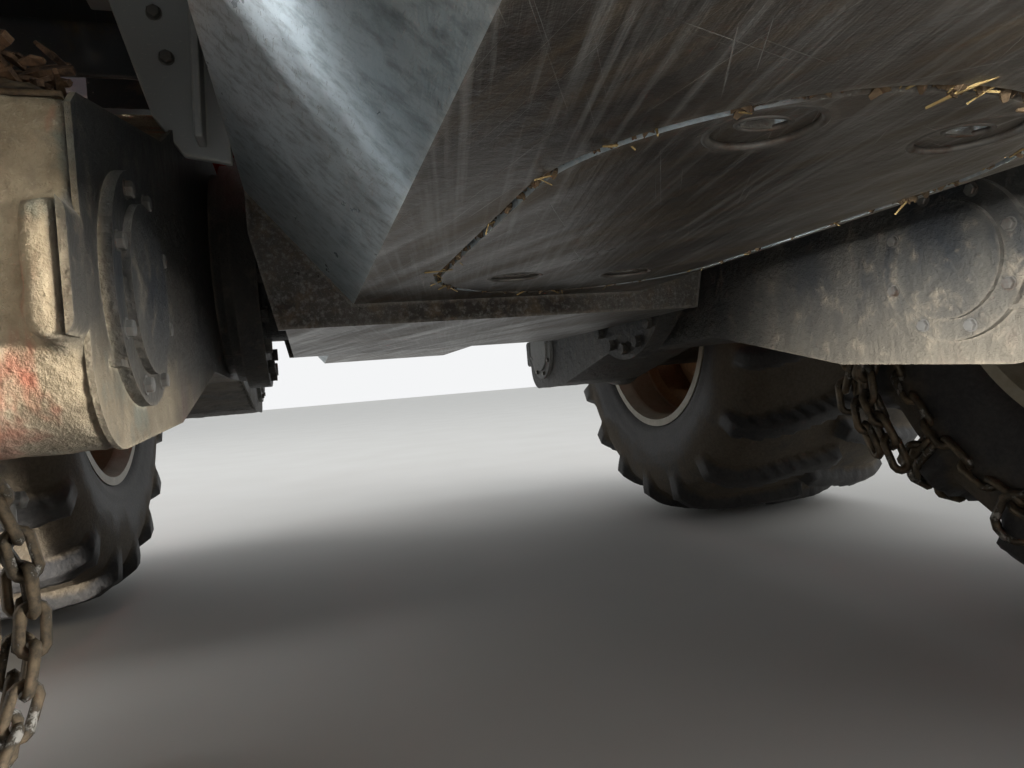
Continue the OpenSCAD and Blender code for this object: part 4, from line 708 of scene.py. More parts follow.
def over_tread(side, y, start, lean_x):
    """A run of links over the tread: it leaves the outer ring at angle start and leans by lean_x radians across."""
    top, foot = WHEEL_R - 0.0205, CHAIN_RING_R + 0.02
    half = np.array([(0.12, top), (0.25, top - 0.008), (0.325, top - 0.04), (0.3495, 0.56), (CHAIN_FLANK, foot)])
    profile = spread(np.concatenate([half[::-1] * (-1, 1), half]), 60)
    slope = unit(np.gradient(profile, axis=0))
    turn = start + lean_x * profile[:, 0] / CHAIN_FLANK
    radial = np.stack([np.zeros_like(turn), np.sin(turn), np.cos(turn)], -1)
    sideways = np.array((1.0, 0, 0))
    path = radial * profile[:, 1:] + (0, y, WHEEL_R) + sideways * (side * TYRE_MID + profile[:, :1])
    return chain_on(path, radial * slope[:, :1] - sideways * slope[:, 1:], lean=0.7)


def chains_of(side, y):
    """Two rings of links round the flanks, and runs that cross the tread to and fro between eight knots on each."""
    t = np.linspace(0, 2 * math.pi, 121)
    shells = []
    for s in (-1, 1):
        ring = np.stack([np.full_like(t, side * TYRE_MID + s * CHAIN_FLANK), y + CHAIN_RING_R * np.sin(t),
                         WHEEL_R + CHAIN_RING_R * np.cos(t)], -1)
        shells.append(chain_on(ring, np.broadcast_to((float(s), 0, 0), ring.shape), lean=math.pi / 4))
    knots = np.arange(8) * math.pi / 4 + math.radians(26)
    shells += [over_tread(side, y, knot + lean, -lean * side) for knot in knots for lean in (-0.19, 0.19)]
    # A forged ring at each knot of the inner ring, held upright by the runs
    radial = np.stack([0 * knots, np.sin(knots), np.cos(knots)], -1)
    at = (CHAIN_RING_R + 0.022) * radial + (side * (TYRE_MID - CHAIN_FLANK - 0.004), y, WHEEL_R)
    around = np.cross(radial, (1.0, 0, 0))
    shells.append(link_shell(at, radial, unit(around + (0.35, 0, 0)), 0.088, 0.062, 0.008))
    return shells


def slack_chain(points, outside):
    """A loose end: links strung along a smooth line through the given points, which sags as its own weight pulls it."""
    line = through(points, 80)
    return chain_on(line, np.broadcast_to(np.asarray(outside, float), line.shape), 0.052, 0.068, 0.032, 0.008, 0.7)


def loose_ends():
    """Spare links that hang off the rings by the camera: beside the left tyre, and bunched at the right one.

    They hang plumb however the wheels turn, so they ride on the frame.
    """
    left = [slack_chain([(0.772, -2.74, 0.47), (0.735, -2.79, 0.40), (0.705, -2.80, 0.28), (0.70, -2.76, 0.15),
                         (0.725, -2.69, 0.055), (0.765, -2.60, 0.03)], (1.0, -0.4, 0)),
            slack_chain([(0.768, -2.70, 0.46), (0.745, -2.74, 0.34), (0.735, -2.72, 0.2), (0.755, -2.66, 0.11),
                         (0.765, -2.58, 0.035)], (1.0, 0.2, 0)),
            slack_chain([(0.742, -2.812, 0.33), (0.722, -2.82, 0.25), (0.735, -2.80, 0.14), (0.745, -2.76, 0.05)],
                        (1.0, -0.7, 0))]
    right = [slack_chain([(-0.768, -2.775, 0.50), (-0.765, -2.80, 0.44), (-0.762, -2.80, 0.37), (-0.765, -2.775, 0.30)],
                         (1.0, 0.3, 0)),
             slack_chain([(-0.766, -2.765, 0.50), (-0.752, -2.775, 0.43), (-0.755, -2.75, 0.36), (-0.764, -2.72, 0.28)],
                         (1.0, 0.6, 0)),
             slack_chain([(-0.766, -2.79, 0.50), (-0.765, -2.835, 0.46), (-0.767, -2.84, 0.39)], (1.0, 0.0, 0.3))]
    piece("loose_chain_left", left, "front_frame", *CHAIN)
    piece("loose_chain_right", right, "front_frame", *CHAIN)


def wheels():
    """A tyre on each wheel, with more steps a pitch on the front ones, and chains on two of them."""
    for wheel, side, y in WHEELS:
        r = WHEEL_R - (CHAIN_DROP if wheel in CHAINED else 0)
        shell, lug = tyre_shell(side, y, r, 18 if wheel[0] == "f" else 11)
        piece("tread_" + wheel, shell, "wheel_" + wheel, FINISH["tyre_rubber"], "tyre_rubber", ("tyre_" + wheel,),
              lug=lug)
        if wheel in CHAINED:
            piece("chain_" + wheel, chains_of(side, y), "wheel_" + wheel, *CHAIN)


# Castings

# How far out from the middle the cast skin begins and the crisp collars end; they overlap by 3 mm
SKIN_X, COLLAR_X = 0.441, 0.444


def ripple(points, size, seed):
    """A smooth random field from -1 to 1: a mean of five products of three sines whose waves are about size long."""
    total = np.zeros(len(points))
    dice = np.random.default_rng(seed)
    for _ in range(5):
        waves, phases = dice.normal(size=(3, 3)) * 3.2 / size, dice.uniform(0, 6.28, 3)
        total += np.prod(np.sin(points @ waves + phases), axis=1)
    return total / 2.2


def bogie_part(name, cuts, in_triangles=False):
    """A merged copy of the front bogies' solid without what lies beyond each cut: its distance along X and its way."""
    mesh = bpy.data.meshes.new(name)
    work = bmesh.new()
    work.from_mesh(NODES["front_bogies"].data)
    bmesh.ops.remove_doubles(work, verts=work.verts, dist=1e-5)
    for x, way in cuts:
        cut = bmesh.ops.bisect_plane(work, geom=work.verts[:] + work.edges[:] + work.faces[:], plane_co=(x, 0, 0),
                                     plane_no=(way, 0, 0), clear_outer=True)["geom_cut"]
        bmesh.ops.holes_fill(work, edges=[e for e in cut if isinstance(e, bmesh.types.BMEdge)], sides=0)
    if in_triangles:
        bmesh.ops.triangulate(work, faces=work.faces[:])
    work.to_mesh(mesh)
    work.free()
    return mesh


def cast_skin(side):
    """The clay-covered outer part of a front bogie box, with its corners rounded as a mould leaves them, and lumps of
    clay.

    The cut copy is remeshed in 7.6 mm voxels, which rounds corners to about two voxels, smoothed, and moved along its
    normals by a ripple of 50 mm waves and one of 12 mm waves.
    """
    rough = shown("box_mould", bogie_part("box_mould", [(side * SKIN_X, -side)], True))
    modifier = rough.modifiers.new("mould", "REMESH")
    modifier.mode, modifier.voxel_size = "VOXEL", 0.0076
    soft = rough.modifiers.new("soften", "SMOOTH")
    soft.iterations, soft.factor = 3, 0.5
    cast = bpy.data.meshes.new_from_object(rough.evaluated_get(bpy.context.evaluated_depsgraph_get()))
    bpy.data.objects.remove(rough)
    points, normals = np.empty((2, len(cast.vertices) * 3), np.float32)
    cast.vertices.foreach_get("co", points)
    cast.vertices.foreach_get("normal", normals)
    points, normals = points.reshape(-1, 3).astype(float), normals.reshape(-1, 3)
    lift = 0.0012 * (ripple(points, 0.05, 3) + 0.45 * ripple(points, 0.012, 4)) - 0.0004
    moved = np.clip(points + normals * lift[:, None], points.min(0), points.max(0))
    cast.vertices.foreach_set("co", moved.astype(np.float32).ravel())
    cast.polygons.foreach_set("use_smooth", np.full(len(cast.polygons), True))
    cast.materials.clear()
    cast.update()
    dressed(shown("cast_box_" + ("left" if side > 0 else "right"), cast), "front_frame", FINISH["cast_mud"], "cast_mud",
            ("front_bogies",))


def machined_collars():
    """What carries the bogie boxes on the side plates: the rest of the same solid, kept crisp as turned steel is."""
    mesh = bogie_part("bogie_collars", [(COLLAR_X, 1), (-COLLAR_X, -1)])
    mesh.shade_flat()
    dressed(shown("bogie_collars", mesh), "front_frame", FINISH["cast_mud"], "cast_mud", ("front_bogies",))


# Litter

def slivers(places, long, wide, thick, dice, up=0.3):
    """Bent six-sided chips: three cross sections of four corners, the middle one lifted, each chip turned at random."""
    count = len(places)
    x = np.array([-1, 0, 1])[:, None] * np.ones(4)
    y = np.array([-1, 1, 1, -1]) * np.array([0.5, 1.0, 0.45])[:, None]
    z = np.array([-1, -1, 1, 1]) + np.array([0, 1.2, 0])[:, None]
    local = np.stack([x, y, z], -1).reshape(1, 12, 3) * np.stack([long, wide, thick], -1)[:, None, :] / 2
    heading, lift, roll = dice.uniform(0, 6.28, count), dice.normal(0, up, count), dice.uniform(-0.8, 0.8, count)
    ahead = np.stack([np.cos(heading) * np.cos(lift), np.sin(heading) * np.cos(lift), np.sin(lift)], -1)
    side = unit(np.cross((0, 0, 1), ahead))
    top = np.cross(ahead, side)
    c, s = np.cos(roll)[:, None], np.sin(roll)[:, None]
    side, top = c * side + s * top, c * top - s * side
    points = places[:, None] + sum(local[:, :, k:k + 1] * way[:, None] for k, way in enumerate((ahead, side, top)))
    one = np.concatenate([cells(3, 4, False, True)[:, [0, 3, 2, 1]], [[0, 3, 2, 1], [8, 9, 10, 11]]])
    return closed_shell(points, repeated(one, count, 12))


def mound(x0, x1, y0, y1, z, height, seed):
    """A heap on a flat top: its height falls off as (1 - u^4)(1 - v^4) towards the edges, with 30 mm lumps on it."""
    n = 34
    u, v = np.meshgrid(np.linspace(-1, 1, n), np.linspace(-1, 1, n), indexing="ij")
    flat = np.stack([(x0 + x1) / 2 + u * (x1 - x0) / 2, (y0 + y1) / 2 + v * (y1 - y0) / 2, np.zeros_like(u)], -1)
    lumps = ripple(flat.reshape(-1, 3), 0.03, seed).reshape(u.shape)
    rise = height * (1 - u ** 4) * (1 - v ** 4) * (0.75 + 0.35 * lumps)
    top = flat + rise[..., None] * (0, 0, 1) + (0, 0, z)
    bottom = flat + (0, 0, z - 0.004)
    points = np.concatenate([top.reshape(-1, 3), bottom.reshape(-1, 3)])
    upper = cells(n, n)
    edge = np.concatenate([np.arange(n), np.arange(1, n) * n + n - 1, n * n - 1 - np.arange(1, n),
                           np.arange(n - 2, 0, -1) * n])
    after = np.roll(edge, -1)
    rim = np.stack([edge, edge + n * n, after + n * n, after], -1)
    return points, np.concatenate([upper, upper[:, ::-1] + n * n, rim])


def litter():
    """Bark and soil heaped on the toes of the bogie boxes, with chips that stick out over the edge."""
    soil, bark = [], []
    dice = np.random.default_rng(11)
    box_top = 0.712
    for s in (1, -1):
        for y, deep in ((FRONT_BOGIE_Y + 0.80, 1.0), (FRONT_BOGIE_Y - 0.80, 0.7)):
            x0, x1 = sorted((s * 0.446, s * 0.684))
            soil.append(mound(x0, x1, y - 0.075, y + 0.075, box_top, 0.035 * deep, int(100 * (y + 5))))
            count = int(300 * deep)
            at = np.stack([dice.uniform(x0 + 0.01, x1 - 0.01, count), y + dice.uniform(-0.07, 0.07, count),
                           box_top + 0.012 + np.abs(dice.normal(0, 0.014, count)) * deep], -1)
            long = dice.uniform(0.006, 0.045, count)
            bark.append(slivers(at, long, long * dice.uniform(0.12, 0.4, count), long * 0.1 + 0.0008, dice))
    piece("soil_heaps", soil, "front_frame", dry_litter("crumbled_soil", "#6d5a41", "#3a2e20"), "cast_mud")
    piece("bark_litter", bark, "front_frame", dry_litter("spruce_bark", "#7a5d43", "#2c1f17"), "cast_mud", smooth=False)


def hatch_litter():
    """Clay and straw caught in the gap round the hatch: it follows the outline, two half circles and two straights."""
    dice = np.random.default_rng(5)
    reach, r, count = 0.17, 0.184, 700
    arc = math.pi * r
    total = 4 * reach + 2 * arc
    run = np.sort(dice.uniform(0, total, count)) % total
    a = (run - 2 * reach) / r
    b = (run - 4 * reach - arc) / r
    parts = [run < 2 * reach, run < 2 * reach + arc, run < 4 * reach + arc]
    x = np.select(parts, [r + 0 * run, r * np.cos(a), -r + 0 * run], -r * np.cos(b))
    y = np.select(parts, [-reach + run, reach + r * np.sin(a), reach - (run - 2 * reach - arc)], -reach - r * np.sin(b))
    dense = step(ripple(np.stack([x, y, 0 * x], -1), 0.12, 8), -0.3, 0.5)
    keep = dice.uniform(0, 1, count) < 0.35 + 0.65 * dense
    at = np.stack([HATCH[0] + x, HATCH[1] + y, 0.634 + dice.uniform(-0.002, 0.008, count)], -1)[keep]
    at[:, :2] += dice.normal(0, 0.0022, (len(at), 2))
    long = dice.uniform(0.003, 0.012, len(at))
    piece("hatch_clay", slivers(at, long, long * 0.6, long * 0.5, dice, 0.5), "front_frame",
          dry_litter("packed_clay", "#6b5a45", "#2e251b"), "belly_steel", smooth=False)
    pick = dice.choice(len(at), 60, replace=False)
    straw = dice.uniform(0.012, 0.034, 60)
    stalks = slivers(at[pick] - (0, 0, 0.003), straw, straw * 0.06, straw * 0.04, dice, 0.35)
    piece("hatch_straw", stalks, "front_frame", dry_litter("dry_straw", "#b79f6d", "#7d6a45"), "belly_steel",
          smooth=False)


def washer_rings():
    """Rolled rims round the hatch's bolt slots: round bar of 6 and 4 mm carried round a circle and an oval."""
    shells = []
    for x in (-0.078, 0.078):
        for y in (-0.215, 0.29):
            for r, wire, oval, z in ((0.034, 0.0032, 1, 0.6345), (0.0175, 0.0022, 0.62, 0.637)):
                ring, faces = hoop(r, wire, 48, 10)
                shells.append((ring * (1, oval, 1) + (HATCH[0] + x, HATCH[1] + y, z), faces))
    piece("hatch_rims", shells, "front_frame", STEEL[0], "hatch_steel")


# Small pieces

def hoop(r, wire, rounds, sides, grip=0.0, grips=24):
    """A ring of round bar about Z: a circle of radius wire carried round one of radius r, with finger grips on top."""
    u, v = np.meshgrid(turns(rounds), turns(sides), indexing="ij")
    out = r + wire * np.cos(v)
    points = np.stack([out * np.cos(u), out * np.sin(u), wire * np.sin(v) + grip * np.cos(grips * u)], -1)
    return closed_shell(points, cells(rounds, sides, True, True))


def tube(path, r, sides=10, hint=(1.0, 0, 0)):
    """A round bar of radius r along a path: rings square to it, turned by the hint, and drawn in at both ends."""
    path = np.asarray(path, float)
    ahead = unit(np.gradient(path, axis=0))
    beside = unit(np.cross(ahead, hint))
    above = np.cross(ahead, beside)
    path, beside, above = (np.concatenate([v[:1], v, v[-1:]]) for v in (path, beside, above))
    radius = np.full((len(path), 1, 1), r)
    radius[[0, -1]] = r * 0.02
    v = turns(sides)[None, :, None]
    points = path[:, None] + radius * (np.cos(v) * beside[:, None] + np.sin(v) * above[:, None])
    return closed_shell(points, cells(len(path), sides, False, True))


def lathe(profile, centre, axis, sides=28):
    """Pairs of (distance along the axis, radius) turned round axis 0, 1 or 2, which are X, Y and Z, through centre."""
    profile = np.asarray(profile, float)
    v = turns(sides)
    points = np.zeros((len(profile), sides, 3))
    points[..., axis] = profile[:, :1]
    points[..., (axis + 1) % 3] = profile[:, 1:] * np.cos(v)
    points[..., (axis + 2) % 3] = profile[:, 1:] * np.sin(v)
    return closed_shell(points + centre, cells(len(profile), sides, False, True))


def block(low, high):
    """Eight corners and six faces; its piece gets a bevel that rounds the edges."""
    low, high = np.minimum(low, high), np.maximum(low, high)
    corners = np.array([[x, y, z] for x in (0, 1) for y in (0, 1) for z in (0, 1)])
    faces = np.array([[0, 1, 3, 2], [4, 6, 7, 5], [0, 4, 5, 1], [2, 3, 7, 6], [0, 2, 6, 4], [1, 5, 7, 3]])
    return closed_shell(low + corners * (high - low), faces)


def placed(shell, origin, angle):
    """A shell drawn with Y along an arm, turned by an angle about X and moved to the arm's origin."""
    points, faces = shell
    c, s = math.cos(angle), math.sin(angle)
    return points @ np.array([[1, 0, 0], [0, c, s], [0, -s, c]]) + origin, faces


def bevel(obj, width, segments=3):
    """Rounds the edges of a piece made of blocks, with flat faces left flat."""
    edge = obj.modifiers.new("rounded_edges", "BEVEL")
    edge.width, edge.segments, edge.harden_normals = width, segments, True
    return obj


def bolt_heads(places, axis, sign, size):
    """Hexagonal heads with a washer and a domed top, standing off places along an axis."""
    washer = np.array([(-0.15, 0.0), (-0.15, 0.95), (0.12, 0.95), (0.12, 0.62)])
    head = np.array([(0.1, 0.0), (0.1, 0.82), (0.6, 0.82), (0.72, 0.7), (0.76, 0.0)])
    return [lathe(profile * size * (sign, 1), place, axis, sides)
            for place in places for profile, sides in ((washer, 16), (head, 6))]


def pane_seal(low, high, axis, r=0.011):
    """A rubber seal round a pane: a round bar along its outline, whose corners are quarter circles of 40 mm."""
    low, high = np.array(low, float), np.array(high, float)
    turn = turns(48)
    line = np.zeros((48, 3))
    line[:, axis] = (low[axis] + high[axis]) / 2
    for k, wave in zip([k for k in range(3) if k != axis], (np.cos, np.sin)):
        # The corner's circle moves out to the pane's corner; the small shift keeps its sign clear of zero
        reach = (high[k] - low[k]) / 2 - 0.03
        line[:, k] = (low[k] + high[k]) / 2 + np.sign(wave(turn + 0.001)) * reach + 0.04 * wave(turn)
    # Even steps along the straights
    line = spread(np.concatenate([line, line[:1]]), 121)[:-1]
    ahead = unit(np.roll(line, -1, 0) - np.roll(line, 1, 0))
    flat = np.eye(3)[axis]
    v = turns(8)[None, :, None]
    points = line[:, None] + r * (np.cos(v) * np.cross(ahead, flat)[:, None] + 1.3 * np.sin(v) * flat)
    return closed_shell(points, cells(120, 8, True, True))


def rounded(u, power):
    """A cosine and a sine raised to a small power, which draw a box with round corners."""
    return [np.sign(wave(u)) * np.abs(wave(u)) ** power for wave in (np.cos, np.sin)]


def pad_shell(half, power=0.34, seams=(), cross=(), crown=0.012, count=48):
    """A stuffed pad: x = a c(v) c(u), y = b c(v) s(u), z = h s(v), with c and s a cosine and sine raised to a small
    power, which gives the box its round corners; the top swells by a crown and dips 5 mm along each sewn seam."""
    u = turns(count * 2)[:, None]
    v = np.linspace(-math.pi / 2 + 0.001, math.pi / 2 - 0.001, count)[None, :]
    cu, su = rounded(u, power)
    cv, sv = rounded(v, power)
    x, y, z = half[0] * cv * cu, half[1] * cv * su, half[2] * sv + 0 * u
    top = np.clip(z / half[2], 0, 1)
    z = z + top * crown * (1 - (x / half[0]) ** 2) * (1 - (y / half[1]) ** 2)
    for at in seams:
        z = z - top * 0.006 * np.exp(-((x - at) / 0.006) ** 2)
    for at in cross:
        z = z - top * 0.005 * np.exp(-((y - at) / 0.006) ** 2) * (np.abs(x) < 0.62 * half[0])
    # Cloth gathers a little where it is sewn
    z = z + top * 0.0012 * np.sin(x * 160) * np.exp(-((np.abs(y) - half[1] * 0.86) / 0.02) ** 2)
    return closed_shell(np.stack([x, y, z], -1), cells(count * 2, count, True, False))


def driver_seat():
    """A sprung seat: cushion, backrest and headrest of woven cloth on foam, armrests with joysticks, a bellows."""
    y = -2.13
    points, faces = pad_shell((0.245, 0.238, 0.058), seams=(-0.15, 0.15), cross=(-0.09, 0.09))
    pads = [("seat_cushion", (points + (0, y - 0.008, 1.876), faces))]
    for name, half, at, seams, cross in (("seat_back", (0.235, 0.262, 0.05), 0.285, (-0.14, 0.14), (-0.12, 0.0, 0.12)),
                                         ("seat_headrest", (0.135, 0.075, 0.036), 0.60, (), ())):
        points, faces = pad_shell(half, 0.38, seams, cross)
        # Stood up: the pad's Y runs up the back, and its top faces the front
        points = np.stack([points[:, 0], -points[:, 2] + 0.055, points[:, 1] + at], -1)
        pads.append((name, closed_shell(*placed((points, faces), (0, y + 0.2, 1.922), math.radians(10)))))
    for name, shell in pads:
        piece(name, shell, "front_frame", FINISH["seat_cloth"], "seat_cloth", ("seat",))
    folds = np.linspace(0, 1, 65)
    bellows = np.stack([0.012 + 0.25 * folds, 0.17 + 0.014 * np.cos(folds * 7 * 2 * math.pi)], -1)
    bellows = np.concatenate([[(0.002, 0.002), (0.002, 0.17)], bellows, [(0.275, 0.17), (0.275, 0.002)]])
    piece("seat_bellows", lathe(bellows, (0, y, 1.5), 2, 40), "front_frame", *PLASTIC, ("seat",))
    shells = [block((-0.21, y - 0.2, 1.776), (0.21, y + 0.19, 1.816)),
              block((-0.19, y + 0.165, 1.80), (0.19, y + 0.195, 1.95))]
    knob = [(0.0, 0.001), (0.0, 0.024), (0.02, 0.02), (0.03, 0.008), (0.07, 0.007), (0.08, 0.015), (0.10, 0.021),
            (0.125, 0.021), (0.14, 0.013), (0.144, 0.001)]
    for s in (-1, 1):
        shells += [block((s * 0.252, y - 0.2, 1.98), (s * 0.328, y + 0.17, 2.028)),
                   block((s * 0.252, y + 0.06, 1.85), (s * 0.285, y + 0.13, 1.985))]
    bevel(piece("seat_frame", shells, "front_frame", *PLASTIC, ("seat",)), 0.009)
    piece("joysticks", [lathe(knob, (s * 0.29, y - 0.165, 2.026), 2, 20) for s in (-1, 1)], "front_frame", *PLASTIC)


def cab_trim():
    """Seals, wiper, handles, lamps and steering wheel: what the cab carries outside and behind its panes."""
    panes = (((-0.64, -2.884, 2.06), (0.64, -2.876, 3.22), 1), ((-0.64, -1.63, 1.86), (0.64, -1.622, 3.22), 1),
             ((-0.73, -2.79, 2.06), (-0.722, -1.72, 3.22), 0), ((0.722, -2.79, 2.06), (0.73, -2.5, 3.22), 0))
    piece("pane_seals", [pane_seal(*pane) for pane in panes], "front_frame", *PLASTIC)
    piece("door_seal", pane_seal((0.722, -2.35, 1.81), (0.73, -1.75, 3.17), 0), "cab_door", *PLASTIC)
    t = np.linspace(0, 1, 24)[:, None]
    arm = np.array((0.0, -2.905, 2.1)) + t * np.array((0.24, -0.004, 0.62)) + np.sin(math.pi * t) * (0, -0.012, 0)
    piece("wiper", [tube(arm, 0.006), tube([(0.235, -2.899, 2.36), (0.237, -2.897, 2.7), (0.239, -2.899, 3.04)], 0.005),
                    lathe([(0.0, 0.001), (0.0, 0.02), (-0.022, 0.018), (-0.026, 0.001)], (0.0, -2.892, 2.1), 1, 20)],
          "front_frame", *PLASTIC)
    # Work lamps under the visor: a dished rim, and a lens with pressed flutes
    rims, lenses = [], []
    u, v = np.meshgrid(turns(48), np.linspace(0.02, 1, 10), indexing="ij")
    deep = -0.004 - 0.007 * (1 - v ** 2) - 0.0007 * np.cos(12 * v * np.cos(u) * math.pi)
    sheets = [0.035 * r[..., None] * np.stack([np.cos(u), 0 * u, np.sin(u)], -1) + depth[..., None] * (0, 1, 0)
              for r, depth in ((v, deep), (v[:, ::-1], 0 * u - 0.0005))]
    for x in (-0.56, -0.2, 0.2, 0.56):
        at = (x, -2.979, 3.29)
        rims.append(lathe([(0.0, 0.041), (-0.014, 0.042), (-0.018, 0.036), (-0.012, 0.034), (0.0, 0.034)], at, 1, 32))
        lenses.append(closed_shell(np.concatenate(sheets, 1) + at, cells(48, 20, True, False)))
    piece("lamp_rims", rims, "front_frame", *PLASTIC)
    piece("lamp_lenses", lenses, "front_frame", FINISH["lamp_lens"], "lamp_lens")
    lamp_z = 1.04
    for name, look, half, y, high, round_off in (("tail_lenses", TAIL_LENS, 0.058, 4.758, 0.028, 0.004),
                                                 ("tail_bezels", PLASTIC, 0.068, 4.752, 0.038, 0.003)):
        pair = [block((x - half, y, lamp_z - high), (x + half, y + 0.010, lamp_z + high)) for x in (-0.90, 0.90)]
        bevel(piece(name, pair, "rear_frame", *look), round_off)
    # Steering wheel with three spokes on its hub, tipped back on top of its column
    column_top, tilt = (0, -2.735, 2.16), math.radians(28)
    wheel = [hoop(0.17, 0.014, 60, 12, 0.0015)]
    for a in (0.5, 2.64, 4.71):
        spoke = [(r * math.cos(a), r * math.sin(a), z) for r, z in ((0.02, -0.012), (0.09, -0.008), (0.165, 0))]
        wheel.append(tube(spoke, 0.008, hint=(0, 0, 1.0)))
    hub = [(-0.05, 0.001), (-0.05, 0.026), (-0.01, 0.04), (0.004, 0.038), (0.008, 0.001)]
    wheel.append(lathe(hub, (0, 0, 0), 2, 28))
    piece("steering_wheel", [placed(shell, column_top, tilt) for shell in wheel], "front_frame", *PLASTIC)
    # Door pull with bent feet, and the barrel of its lock
    bend = np.array([(0.783, 2.02), (0.800, 2.035), (0.803, 2.06), (0.803, 2.26), (0.800, 2.285), (0.783, 2.30)])
    pull = np.insert(bend, 1, -1.80, axis=1)
    piece("door_pull", tube(spread(pull, 30), 0.010, hint=(0, 1.0, 0)), "cab_door", *PLASTIC)
    barrel = [(0.0, 0.001), (0.0, 0.019), (0.010, 0.017), (0.012, 0.001)]
    piece("door_lock", lathe(barrel, (0.781, -1.80, 1.96), 0, 24), "cab_door", *STEEL)
    # Beacon on the roof
    roof = (-0.5, -2.0, 3.44)
    foot = [(0.0, 0.001), (0.0, 0.07), (0.022, 0.068), (0.026, 0.06), (0.03, 0.058), (0.031, 0.001)]
    piece("beacon_foot", lathe(foot, roof, 2, 36), "front_frame", *PLASTIC)
    dome = [(0.028, 0.001), (0.028, 0.056)] + [(0.028 + 0.07 * s, 0.056) for s in (0.3, 0.6, 1.0)]
    dome += [(0.098 + 0.03 * math.sin(a), 0.056 * math.cos(a) + 0.0005) for a in np.linspace(0, math.pi / 2, 10)[1:]]
    piece("beacon_dome", lathe(dome, roof, 2, 40), "front_frame", *BEACON)


def hood_trim():
    """Latch plates on the hood's sides, and a filler cap on the left tank."""
    plates = [block((s * 0.648, -3.35, 1.45), (s * 0.6505, -3.27, 1.57)) for s in (-1, 1)]
    bevel(piece("hood_latch_plates", plates, "hood", *STEEL), 0.001, 1)
    cap = [(0.0, 0.001), (0.0, 0.052), (0.012, 0.054), (0.03, 0.05), (0.036, 0.03), (0.038, 0.001)]
    piece("fuel_cap", lathe(cap, (0.56, -2.06, 1.374), 2, 30), "front_frame", *PLASTIC)


def crane_trim():
    """Steel pipes clipped along the booms in pairs, valve block, slew ring bolts and pin caps."""
    foot, boom_tilt, jib_tilt = (0, 0, 3.0), math.radians(24), math.radians(-10)
    knee = (0, 2.65 * math.cos(boom_tilt), 3.0 + 2.65 * math.sin(boom_tilt))
    clips, pipes = [], []
    for s in (-1, 1):
        x = s * 0.112
        for k in (0, 1):
            z = -0.035 + 0.042 * k
            line = spread([(s * 0.108, 0.26, z - 0.05), (x, 0.34, z - 0.02), (x, 0.44, z), (x, 2.06, z + 0.02 * k),
                           (x, 2.16, z + 0.03), (s * 0.108, 2.24, z + 0.055)], 60)
            pipes.append(placed(tube(line, 0.011, 10), foot, boom_tilt))
        nut = [(0.0, 0.001), (0.0, 0.012), (s * 0.009, 0.012), (s * 0.009, 0.001)]
        for y in (0.6, 1.1, 1.6, 2.0):
            clip = block((s * 0.099, y - 0.018, -0.058), (s * 0.128, y + 0.018, 0.035))
            clips += [placed(shell, foot, boom_tilt) for shell in (clip, lathe(nut, (s * 0.127, y, -0.012), 0, 6))]
    piece("boom_pipes", pipes, "lift_boom", *PIPE)
    bevel(piece("boom_clips", clips, "lift_boom", *STEEL), 0.003, 2)
    pipes, clips = [], []
    for s in (-1, 1):
        bends = [(s * 0.098, 0.36, 0.02), (s * 0.105, 0.44, 0.03), (s * 0.105, 1.5, 0.03), (s * 0.098, 1.6, 0.02)]
        pipes.append(placed(tube(spread(bends, 40), 0.010, 10), knee, jib_tilt))
        clips += [placed(block((s * 0.091, y - 0.015, 0.008), (s * 0.118, y + 0.015, 0.052)), knee, jib_tilt)
                  for y in (0.55, 0.95, 1.35)]
    piece("jib_pipes", pipes, "jib", *PIPE)
    bevel(piece("jib_clips", clips, "jib", *STEEL), 0.003, 2)
    # Valve block on the pillar's left face, with its spools' caps, unions and four hoses
    spools = (1.985, 2.03, 2.075, 2.12, 2.165, 2.205)
    spool_cap = [(0.0, 0.001), (0.0, 0.014), (0.03, 0.013), (0.034, 0.001)]
    union = [(0.0, 0.001), (0.0, 0.012), (0.012, 0.012), (0.014, 0.009), (0.03, 0.009), (0.032, 0.001)]
    fittings = []
    for z in spools:
        fittings += [lathe(spool_cap, (0.19, 0.098, z), 1, 16), lathe(union, (0.234, -0.06, z), 0, 6)]
    bevel(piece("valve_block", block((0.152, -0.12, 1.95), (0.235, 0.10, 2.23)), "pillar", *PIPE), 0.006)
    piece("valve_unions", fittings, "pillar", *STEEL, smooth=False)
    hoses = []
    for k, z in enumerate(spools[:4]):
        line = [(0.262, -0.06, z), (0.275, -0.062, z + 0.003), (0.285, -0.07 - 0.01 * k, z + 0.05),
                (0.262, -0.12 - 0.008 * k, 2.36), (0.20, -0.15, 2.52 + 0.02 * k), (0.158, -0.12 + 0.045 * k, 2.60)]
        hoses.append(tube(through(line, 40), 0.011, 10, hint=(0, 1.0, 0.2)))
    piece("valve_hoses", hoses, "pillar", *PLASTIC)
    caps = []
    for (x, y, z), half in ((foot, 0.168), (knee, 0.122)):
        for s in (-1, 1):
            cap = [(0.0, 0.001), (0.0, 0.03), (s * 0.008, 0.03), (s * 0.012, 0.02), (s * 0.012, 0.006),
                   (s * 0.024, 0.005), (s * 0.026, 0.001)]
            caps.append(lathe(cap, (s * half, y, z), 0, 20))
    piece("pin_caps", caps, "lift_boom", *STEEL)
    circle, flange_top = 0.262, 1.762
    ring = [(circle * math.cos(t), circle * math.sin(t), flange_top) for t in np.arange(20) * math.pi / 10]
    piece("slew_bolts", bolt_heads(ring, 2, 1, 0.017), "pillar", *STEEL, smooth=False)


